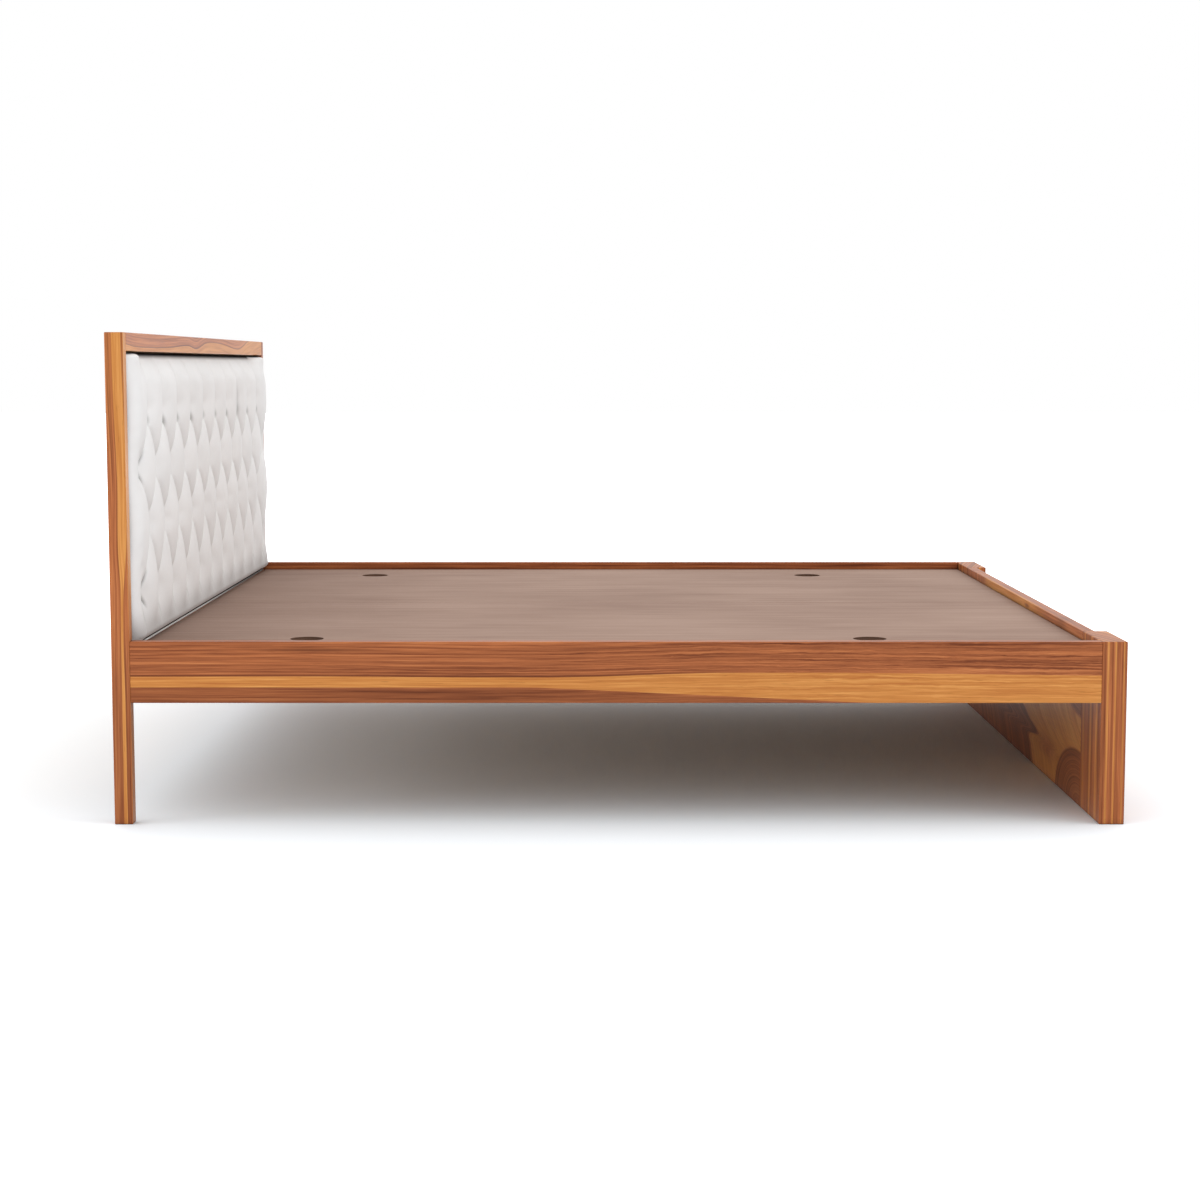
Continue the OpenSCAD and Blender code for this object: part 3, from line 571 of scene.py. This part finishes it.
def cloth(name, colours, folded=False, sheen=0.25, specular=0.3):
    """White upholstery cloth: a fine plain weave with a soft sheen. Folded cloth has painted shade in its
    tight folds and from the frame round it; other cloth has painted shade toward the far side."""
    g = Graph(name, Roughness=0.72, Sheen_Weight=sheen, Sheen_Roughness=0.4, Specular_IOR_Level=specular)
    x, y, z = g.place()
    cloud = g.noise(g.coords.outputs["Object"], 9.0, 3.0, 0.6)
    colour = g.mix(g.blend(cloud, 0.3, 0.7), *colours)
    if folded:
        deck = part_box("deck_panel_near")[1].z
        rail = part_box("headboard_top_rail")[0].z
        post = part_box("headboard_post_near")[1].x
        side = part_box("tufted_cover")[1].y
        # painted shade: darker toward the deck, where little of the surroundings is open and where the
        # cloth faces down
        over_edge = g.blend(z, deck + 8.5 * MM, deck + 24.5 * MM)
        hidden = g.blend(g.open_sky(0.15, 8), 0.35, 0.88, 0.45, 0.0)
        below_top = g.blend(z, rail - 45 * MM, rail - 175 * MM)
        colour = g.mix(g.both(hidden, below_top, over_edge), colour, srgb(134, 131, 130))
        # painted shade on slopes that face down
        colour = g.mix(g.blend(g.facing()[2], -0.03, -0.4, 0.0, 0.2), colour, srgb(140, 134, 132))
        near_deck = g.blend(z, deck + 83.5 * MM, deck + 23.5 * MM, 0.0, 0.32)
        colour = g.mix(g.both(near_deck, over_edge), colour, srgb(120, 114, 110))
        # painted shade in the tight folds
        fold = g.add("Attribute", attribute_name="fold").outputs["Fac"]
        colour = g.mix(g.scaled(fold, 0.85), colour, srgb(106, 102, 100))
        # painted shade: nearly black in the gap under the top rail, which the corners fill
        between = g.blend(g.math("ABSOLUTE", y), side - 120.5 * MM, side - 180.5 * MM)
        narrow_gap = g.blend(z, rail - 9 * MM, rail - 4 * MM)
        wide_gap = g.both(g.blend(z, rail - 17 * MM, rail - 4.5 * MM), between)
        under_rail = g.blend(x, post + 9 * MM, post - 1 * MM)
        colour = g.mix(g.both(g.either(narrow_gap, wide_gap), under_rail), colour, srgb(12, 10, 9))
    else:
        # painted shade on the welt, darker toward the far side
        colour = g.mix(g.blend(y, -0.25, 0.65, 0.0, 0.88), colour, srgb(48, 40, 36))
    thread = math.pi / (0.55 * MM)
    weave = g.both(g.math("SINE", g.scaled(y, thread)), g.math("SINE", g.scaled(z, thread)))
    slub = g.noise(g.vector(g.scaled(x, 300.0), g.scaled(y, 1500.0), g.scaled(z, 300.0)), 1.0, 2.0)
    height = g.sum(g.scaled(weave, 0.5), slub)
    return g.finish(colour, None, g.bump(height, 0.06 * MM, 0.5))


def smooth(value, low, high):
    t = np.clip((value - low) / (high - low), 0, 1)
    return t * t * (3 - 2 * t)


def quarter(distance, radius):
    """Height of a quarter round, from 0 at an edge to 1 at its radius."""
    t = np.clip(distance / radius, 0, 1)
    return np.sqrt(1 - (1 - t) ** 2)


class Cover:
    """The tufted cover's measures, from its own solid."""

    def __init__(self):
        low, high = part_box("tufted_cover")
        self.half = high.y
        self.low = low.z
        self.top = high.z
        self.back = low.x
        self.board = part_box("upholstery_board")[1].x
        self.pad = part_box("foam_pad")
        self.foam = self.pad[1].x
        self.reach = (TUFT_COLS - 1) / 2
        self.pitch = (self.half - TUFT_SIDE) / self.reach
        self.row = (self.top - self.low - TUFT_TOP - TUFT_LOW - LOW_ROW_DROP) / (TUFT_ROWS - 1)
        self.z0 = self.low + TUFT_LOW
        self.rows = [self.z0 + j * self.row + min(1, j) * LOW_ROW_DROP for j in range(TUFT_ROWS)]
        self.z1 = self.rows[-1]
        self.tufts = [((i - self.reach + (j % 2) / 2) * self.pitch, self.rows[j])
                      for j in range(TUFT_ROWS) for i in range(TUFT_COLS - j % 2)]

    def border(self, y, z):
        """Share of the full height that the rolled edges leave."""
        side = quarter(self.half - np.abs(y), SIDE_ROLL)
        low = quarter(z - self.low, LOW_ROLL)
        from_top = self.top - z
        roll = np.sin(np.pi / 2 * np.clip((from_top - TOP_SLACK) / TOP_ROLL, 0, 1))
        # the corners stand up as ears, where the folded cloth is thickest
        ear = quarter(from_top, EAR_ROLL) * (0.77 + 0.23 * smooth(from_top, 25 * MM, 95 * MM))
        in_ear = smooth(np.abs(y), self.half - EAR_IN, self.half - EAR_OUT)
        return side * low * (roll + (ear - roll) * in_ear)

    def in_border(self, y):
        """0 between the outermost tufts, rising to 1 in the side borders."""
        return smooth(np.maximum(np.abs(y) - self.reach * self.pitch, 0), 0.0, SIDE_BORDER)

    def fullness(self, y, z):
        """1 in the middle of a diamond and 0 along its creases."""
        u = np.clip(y / self.pitch, -self.reach, self.reach)
        v = np.interp(z, self.rows, np.arange(TUFT_ROWS)) / 2
        diamond = np.sqrt(np.abs(np.sin(np.pi * (u + v)) * np.sin(np.pi * (u - v))))
        # a side border swells and sinks softly with the rows, and the low border is slacker
        full = diamond + (np.sin(np.pi * v) ** 2 - diamond) * self.in_border(y)
        full = full * (1 - LOW_SLACK * smooth(self.z0 - z, 0.0, TUFT_LOW))
        return full + (FOOT_FULL - full) * (1 - smooth(z - self.low, 5 * MM, 95 * MM))

    def sink(self, y, z):
        """How deep the creases lie: shallower toward the sides."""
        return CREASE + (SIDE_SINK - CREASE) * self.in_border(y)

    def nearest_tuft(self, y, z):
        nearest = np.full(np.shape(y), 1.0)
        for at_y, at_z in self.tufts:
            nearest = np.minimum(nearest, np.hypot(y - at_y, z - at_z))
        return nearest

    def height(self, y, z):
        """Plain height of the cover in front of its board."""
        pull = PULL * np.exp(-(self.nearest_tuft(y, z) / TUFT_REACH) ** 2)
        return self.border(y, z) * (CROWN - self.sink(y, z) * (1 - self.fullness(y, z)) - pull)

    def floor(self, y, z):
        """The lowest place that the cloth can lie: on the foam, which gives way round the ties."""
        pad_low, pad_high = self.pad
        room = 3 * MM
        over = (np.abs(y) < pad_high.y + room) & (z > pad_low.z - room) & (z < pad_high.z + room)
        return np.where(over, self.foam + 0.9 * MM - foam_dimple(self, y, z), self.board)


def foam_dimple(c, y, z):
    return FOAM_DIMPLE * np.exp(-(c.nearest_tuft(y, z) / (16 * MM)) ** 2)


def mesh_object(name, points, faces, material, smooth_shade=True):
    mesh = bpy.data.meshes.new(name)
    mesh.from_pydata([tuple(p) for p in points], [], faces)
    mesh.validate()
    mesh.update()
    if smooth_shade:
        mesh.shade_smooth()
    mesh.materials.append(material)
    piece = bpy.data.objects.new(name, mesh)
    scene.collection.objects.link(piece)
    return piece


def spaced(edges, step):
    """Grid lines through the given edges, at most a step apart."""
    lines = [edges[0]]
    for a, b in zip(edges, edges[1:]):
        count = max(1, math.ceil((b - a) / step - 1e-6))
        lines += [a + (b - a) * (k + 1) / count for k in range(count)]
    return np.array(lines)


def grid_faces(rows, cols):
    return [(k * cols + i, k * cols + i + 1, (k + 1) * cols + i + 1, (k + 1) * cols + i)
            for k in range(rows - 1) for i in range(cols - 1)]


def grid_rim(rows, cols):
    """The points round the edge of a grid, in order."""
    rim = list(range(cols)) + [k * cols + cols - 1 for k in range(1, rows)]
    rim += [(rows - 1) * cols + i for i in range(cols - 2, -1, -1)]
    return rim + [k * cols for k in range(rows - 2, 0, -1)]


def filled_sheet(points, hold):
    """Where a sheet of cloth goes when the wadding behind it swells. points is a grid of places, and
    hold says how firmly each is held, from 0 to 1."""
    rows, cols = hold.shape
    mesh = bpy.data.meshes.new("filling")
    mesh.from_pydata([tuple(p) for p in points.reshape(-1, 3)], [], grid_faces(rows, cols))
    sheet = bpy.data.objects.new("filling", mesh)
    scene.collection.objects.link(sheet)
    group = sheet.vertex_groups.new(name="hold")
    levels = np.round(hold.ravel() * HOLD_DEGREES).astype(int)
    for level in np.unique(levels):
        group.add(np.nonzero(levels == level)[0].tolist(), level / HOLD_DEGREES, "REPLACE")
    cloth_step = sheet.modifiers.new("filling", "CLOTH")
    settings = cloth_step.settings
    settings.quality = 4
    settings.mass = 0.3
    settings.tension_stiffness = 25
    settings.compression_stiffness = 25
    settings.shear_stiffness = 10
    settings.bending_stiffness = 3.0
    settings.vertex_group_mass = "hold"
    settings.pin_stiffness = 1.0
    settings.shrink_min = -0.004
    settings.use_pressure = True
    settings.uniform_pressure_force = 3.0
    settings.effector_weights.gravity = 0.0
    cloth_step.collision_settings.use_collision = False
    cloth_step.point_cache.frame_start = 1
    cloth_step.point_cache.frame_end = CLOTH_FRAMES
    for number in range(1, CLOTH_FRAMES + 1):
        scene.frame_set(number)
    settled = sheet.evaluated_get(bpy.context.evaluated_depsgraph_get())
    flat = np.empty(rows * cols * 3, dtype=np.float32)
    settled.data.vertices.foreach_get("co", flat)
    bpy.data.objects.remove(sheet)
    scene.frame_set(1)
    return flat.reshape(rows, cols, 3).astype(float)


def cloth_shift(c):
    """How far the simulated cloth moves off the plain form: its grid lines and a shift for each point."""
    y_lines = np.linspace(-c.half, c.half, round(2 * c.half / CLOTH_STEP) + 1)
    z_lines = np.linspace(c.low, c.top, round((c.top - c.low) / CLOTH_STEP) + 1)
    y, z = np.meshgrid(y_lines, z_lines)
    start = np.stack([c.board + 0.92 * c.height(y, z), y, z], axis=2)
    near = c.nearest_tuft(y, z)
    edge = np.minimum(c.half - np.abs(y), np.minimum(z - c.low, c.top - z))
    hold = np.maximum(1 - smooth(near, 5 * MM, 9 * MM), 1 - smooth(edge, 6 * MM, 16 * MM))
    crease = 0.6 * (1 - smooth(c.fullness(y, z), 0.05, 0.35))
    settled = filled_sheet(start, np.maximum(hold, crease))
    shift = calmed(settled - np.stack([c.board + c.height(y, z), y, z], axis=2), 2)
    size = np.linalg.norm(shift, axis=2, keepdims=True)
    return y_lines, z_lines, shift * np.minimum(1, CLOTH_CAP / np.maximum(size, 1e-9))


def calmed(values, times):
    """Values of a grid, each averaged with its neighbours some times over."""
    for _ in range(times):
        wide = np.pad(values, ((1, 1), (1, 1), (0, 0)), "edge")
        across = (wide[:, :-2] + 2 * wide[:, 1:-1] + wide[:, 2:]) / 4
        values = (across[:-2] + 2 * across[1:-1] + across[2:]) / 4
    return values


def sampled(y_lines, z_lines, values, y, z):
    """Values of a regular grid at the given places."""
    i = np.clip((y - y_lines[0]) / (y_lines[1] - y_lines[0]), 0, len(y_lines) - 1.001)
    k = np.clip((z - z_lines[0]) / (z_lines[1] - z_lines[0]), 0, len(z_lines) - 1.001)
    i0, k0 = i.astype(int), k.astype(int)
    beside, above = (i - i0)[..., None], (k - k0)[..., None]
    low = values[k0, i0] * (1 - beside) + values[k0, i0 + 1] * beside
    high = values[k0 + 1, i0] * (1 - beside) + values[k0 + 1, i0 + 1] * beside
    return low * (1 - above) + high * above


def along_line(y, z, start, end):
    """Share of the way along a line, and the signed distance off it."""
    run = np.subtract(end, start)
    length = np.hypot(*run)
    dy, dz = y - start[0], z - start[1]
    return (dy * run[0] + dz * run[1]) / length ** 2, (dy * run[1] - dz * run[0]) / length


def tight_folds(c, y, z):
    """Depth of the tight folds round the tufts, and how much painted shade each point takes from the
    folds.
    """
    chance = np.random.default_rng(7)
    depth = np.zeros(y.shape)
    shade = np.zeros(y.shape)
    outer = c.reach * c.pitch - MM
    for at_y, at_z in c.tufts:
        in_top_row, in_low_row = at_z > c.z1 - MM, at_z < c.z0 + MM
        # small folds that fan out all round
        dy, dz = y - at_y, z - at_z
        reach = np.hypot(dy, dz)
        count = chance.integers(5, 8)
        turn = chance.uniform(0, 2 * np.pi)
        size = chance.uniform(0.5, 1.0) * MM
        near = np.exp(-(reach / (18 * MM)) ** 2) * smooth(reach, 2 * MM, 9 * MM)
        depth += size * near * (0.5 + 0.5 * np.cos(count * np.arctan2(dz, dy) + turn))
        # long folds: a slit under each tuft of the top row, and two inward from each side tuft
        length = chance.uniform(0.22, 0.36)
        start, ends = (at_y, at_z), []
        width, deep, shade_width = 3.0 * MM, 5 * MM, 3.6 * MM
        if in_top_row and abs(at_y - LONG_WRINKLE) < c.pitch / 4:
            start = (at_y + 14 * MM, at_z - 30 * MM)
            ends = [(at_y - 10 * MM, at_z + 66 * MM)]
            width, deep, shade_width = 10 * MM, 3 * MM, 18 * MM
        elif in_top_row:
            start = (at_y + 2 * MM, at_z + 2 * MM)
            ends = [(at_y + length * c.pitch / 2, at_z - length * c.row)]
            width, shade_width = 4.5 * MM, 8 * MM
        elif abs(at_y) > outer:
            inward = -np.sign(at_y) * c.pitch / 2
            ends = [(at_y + 0.45 * inward, at_z + 0.45 * c.row),
                    (at_y + 0.35 * inward, at_z - 0.35 * c.row)]
        # a pleat from the outer rows toward the cover's edge
        if in_top_row or in_low_row:
            edge_z = c.top if in_top_row else c.low
            share, off = along_line(y, z, (at_y, at_z), (at_y + chance.uniform(-5, 5) * MM, edge_z))
            pleat = np.exp(-(off / (3.5 * MM)) ** 2) * smooth(share, 0.0, 0.15)
            pleat *= 1 - smooth(share, 0.3, 0.8)
            depth += 2.2 * MM * pleat
            shade += 0.32 * pleat
        for end in ends:
            share, off = along_line(y, z, start, end)
            length_mask = smooth(share, -0.15, 0.2) * (1 - smooth(share, 0.45, 1.0))
            depth += deep * np.exp(-(off / width) ** 2) * length_mask
            shade += np.exp(-(off / shade_width) ** 2) * length_mask
    return depth, np.clip(shade, 0, 1)


def make_cover(material, gap_shade_material):
    c = Cover()
    # grid lines lie closer along the edges and beside the tufts
    edge_lines = [0, 1.2 * MM, 4 * MM, 9 * MM, 16 * MM, 26 * MM, SIDE_ROLL]
    y_edges = [-c.half + d for d in edge_lines]
    for k in range(-2 * int(c.reach), 2 * int(c.reach) + 1):
        y_edges += [k * c.pitch / 2 + d * MM for d in (-6, -3.6, -1.2, 1.2, 3.6, 6)]
    y_edges += [c.half - d for d in reversed(edge_lines)]
    z_edges = [c.low + d for d in edge_lines[:5]]
    z_edges += c.rows
    z_edges += [c.top - d for d in reversed(edge_lines)]
    y_lines = spaced(y_edges, COVER_STEP)
    z_lines = spaced(z_edges, COVER_STEP)
    y, z = np.meshgrid(y_lines, z_lines)
    front = np.stack([c.board + c.height(y, z), y, z], axis=2)
    calm = smooth(z - c.low, 10 * MM, 90 * MM) * smooth(c.top - z, 5 * MM, 45 * MM)
    front += sampled(*cloth_shift(c), y, z) * calm[..., None]
    depth, shade = tight_folds(c, y, z)
    front[..., 0] -= depth * c.border(y, z)
    # no fold reaches the foam or the board
    front[..., 0] = np.maximum(front[..., 0], c.floor(y, z))
    points = [tuple(p) for p in front.reshape(-1, 3)]
    faces = grid_faces(len(z_lines), len(y_lines))
    rim = grid_rim(len(z_lines), len(y_lines))
    # walls: back along the sides, in under the edge, forward round the board and the foam
    rings = [rim]
    wall = (c.half - COVER_WALL, c.low + COVER_WALL, c.top - COVER_WALL)
    pad_low, pad_high = c.pad
    pad = (pad_high.y + CLEARANCE, pad_low.z - CLEARANCE, pad_high.z + CLEARANCE)
    inside = c.foam + CLEARANCE
    for x, (side, low, top) in ((c.back, (c.half, c.low, c.top)), (c.back, wall), (c.board, wall),
                                (c.board, pad), (inside, pad)):
        ring = []
        for index in rim:
            _, py, pz = points[index]
            ring.append(len(points))
            points.append((x, min(max(py, -side), side), min(max(pz, low), top)))
        rings.append(ring)
    count = len(rim)
    for a, b in zip(rings, rings[1:]):
        for i in range(count):
            j = (i + 1) % count
            faces.append((a[j], a[i], b[i], b[j]))
    centre = len(points)
    points.append((inside, 0.0, (c.low + c.top) / 2))
    last = rings[-1]
    for i in range(count):
        faces.append((last[(i + 1) % count], last[i], centre))
    cover = mesh_object("tufted_headboard_cover", points, faces, material)
    # the strip in the gap under the top rail takes a copy of the cloth without sheen, to keep its painted
    # shade dark
    cover.data.materials.append(gap_shade_material)
    for face in cover.data.polygons:
        in_gap = face.center.z > c.top - GAP_STRIP and face.center.x < c.board + 20 * MM
        face.material_index = int(in_gap)
    # the painted shade of the folds, which the cloth's colour takes
    fold = cover.data.attributes.new("fold", "FLOAT", "POINT")
    fold.data.foreach_set("value", np.concatenate([shade.ravel(), np.zeros(len(points) - shade.size)]))
    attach(cover, "frame")
    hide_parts("tufted_cover")


def tube(centres, radii, sides=14):
    """Points and faces of a closed tube along Y, round the given centres."""
    points, faces = [], []
    for (x, y, z), radius in zip(centres, radii):
        for k in range(sides):
            turn = 2 * math.pi * k / sides
            points.append((x + radius * math.cos(turn), y, z + radius * math.sin(turn)))
    for ring in range(len(centres) - 1):
        for k in range(sides):
            a, b = ring * sides + k, ring * sides + (k + 1) % sides
            faces.append((a, b, b + sides, a + sides))
    for ring, y in ((0, centres[0][1]), (len(centres) - 1, centres[-1][1])):
        middle = len(points)
        points.append((centres[ring][0], y, centres[ring][2]))
        for k in range(sides):
            a, b = ring * sides + k, ring * sides + (k + 1) % sides
            faces.append((middle, b, a) if ring == 0 else (middle, a, b))
    return points, faces


def make_welt(material):
    """Welt along the foot of the cover: slightly uneven where its cloth is gathered."""
    low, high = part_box("cover_welt")
    radius = (high.z - low.z) / 2
    chance = np.random.default_rng(3)
    count = 360
    ys = np.linspace(low.y, high.y, count)
    uneven = np.convolve(chance.normal(0, 1, count + 8), np.ones(9) / 9, "valid")
    ends = quarter(np.minimum(ys - low.y, high.y - ys) + 0.4 * MM, 3 * MM)
    radii = (radius * (0.97 - 0.05 * np.abs(uneven))) * ends
    centres = [((low.x + high.x) / 2, y, low.z + radius * 0.98) for y in ys]
    welt = mesh_object("headboard_foot_welt", *tube(centres, radii), material)
    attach(welt, "frame")
    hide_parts("cover_welt")


def make_foam():
    """Foam pad under the cover: a sheet with soft edges and a dimple at each tie."""
    g = Graph("foam", Roughness=0.95, Specular_IOR_Level=0.2)
    cells = g.noise(g.coords.outputs["Object"], 700.0, 2.0)
    colour = g.ramp(cells, [(0.35, srgb(232, 222, 184)), (0.65, srgb(244, 238, 208))])
    material = g.finish(colour, None, g.bump(cells, 0.3 * MM, 0.8))
    c = Cover()
    low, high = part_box("foam_pad")
    inset = [0, 1 * MM, FOAM_EDGE]
    y_lines = spaced([low.y + d for d in inset] + [high.y - d for d in reversed(inset)], FOAM_STEP)
    z_lines = spaced([low.z + d for d in inset] + [high.z - d for d in reversed(inset)], FOAM_STEP)
    y, z = np.meshgrid(y_lines, z_lines)
    edge = np.minimum(np.minimum(y - low.y, high.y - y), np.minimum(z - low.z, high.z - z))
    x = high.x - FOAM_EDGE * (1 - quarter(edge, FOAM_EDGE)) - foam_dimple(c, y, z)
    rows, cols = y.shape
    points = [tuple(p) for p in np.stack([x, y, z], axis=2).reshape(-1, 3)]
    points += [(low.x, py, pz) for _, py, pz in points]
    faces = grid_faces(rows, cols)
    back = rows * cols
    faces += [tuple(back + i for i in reversed(face)) for face in faces]
    rim = grid_rim(rows, cols)
    faces += [(b, a, a + back, b + back) for a, b in zip(rim, rim[1:] + rim[:1])]
    pad = mesh_object("headboard_foam", points, faces, material)
    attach(pad, "frame")
    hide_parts("foam_pad")


def make_floor():
    """Pale floor that keeps the bed's shadow, with painted light where it lies open, and turns into the
    white background further out.
    """
    size = 40.0
    points = [(-size, -size, 0), (size, -size, 0), (size, size, 0), (-size, size, 0)]
    g = Graph("floor", Roughness=0.9, Specular_IOR_Level=0.1)
    path = g.add("LightPath")
    seen = g.either(path.outputs["Is Camera Ray"], path.outputs["Is Glossy Ray"])
    x, y, _ = g.place()
    # painted light: a glow, brighter where the floor lies open, and white further out
    open_share = g.math("POWER", g.open_sky(4.0, 8), 1.5)
    strength = g.sum(g.scaled(open_share, 0.32), g.blend(g.distance(x, y), 1.6, 3.6))
    g.shader.inputs["Emission Color"].default_value = WHITE_LIGHT
    g.plug(g.shader, {"Emission Strength": g.both(strength, seen)})
    material = g.finish(srgb(240, 246, 251))
    mesh_object("floor", points, [(0, 1, 2, 3)], material, smooth_shade=False)


def make_light():
    """A pale room that is brighter overhead than at the horizon, seen as plain white, and two lamps."""
    world = bpy.data.worlds.new("studio")
    scene.world = world
    world.use_nodes = True
    tree = world.node_tree
    tree.nodes.clear()
    add, link = tree.nodes.new, tree.links.new
    output = add("ShaderNodeOutputWorld")
    path = add("ShaderNodeLightPath")
    seen = add("ShaderNodeMath")
    seen.operation = "MAXIMUM"
    room = add("ShaderNodeBackground")
    backdrop = add("ShaderNodeBackground")
    mix = add("ShaderNodeMixShader")
    way = add("ShaderNodeTexCoord")
    split = add("ShaderNodeSeparateXYZ")
    height = add("ShaderNodeMapRange")
    room.inputs["Color"].default_value = WHITE_LIGHT
    backdrop.inputs["Color"].default_value = WHITE_LIGHT
    backdrop.inputs["Strength"].default_value = 1.0
    height.inputs["To Min"].default_value = 0.55
    height.inputs["To Max"].default_value = 1.15
    link(way.outputs["Generated"], split.inputs[0])
    link(split.outputs["Z"], height.inputs["Value"])
    link(height.outputs[0], room.inputs["Strength"])
    link(path.outputs["Is Camera Ray"], seen.inputs[0])
    link(path.outputs["Is Glossy Ray"], seen.inputs[1])
    link(seen.outputs[0], mix.inputs[0])
    link(room.outputs[0], mix.inputs[1])
    link(backdrop.outputs[0], mix.inputs[2])
    link(mix.outputs[0], output.inputs["Surface"])
    soft_box("head_side", (-6.0, -2.0, 1.4), (-1.0, 0, 0.0), (4.0, 2.4), 120)
    soft_box("foot_side", (5.5, -1.8, 2.6), (0, 0, 0.5), (4.0, 3.0), 80)


def soft_box(name, place, target, size, power):
    data = bpy.data.lights.new(name, "AREA")
    data.shape = "RECTANGLE"
    data.size, data.size_y = size
    data.energy = power
    lamp = bpy.data.objects.new(name, data)
    lamp.location = place
    toward = Vector(target) - Vector(place)
    lamp.rotation_euler = toward.to_track_quat("-Z", "Y").to_euler()
    scene.collection.objects.link(lamp)


make_camera()
make_light()
make_floor()
dress_wood()
dress_plain()
dress_boards()
dress_fittings()
# the cover's cloth, and a copy without sheen for its painted shade under the top rail
make_cover(cloth("white_cloth", WHITE, folded=True),
           cloth("white_cloth_painted_gap_shade", WHITE, folded=True, sheen=0.0, specular=0.0))
make_welt(cloth("welt_cloth", (srgb(230, 229, 226), srgb(238, 237, 234))))
make_foam()

scene.view_settings.view_transform = "Standard"
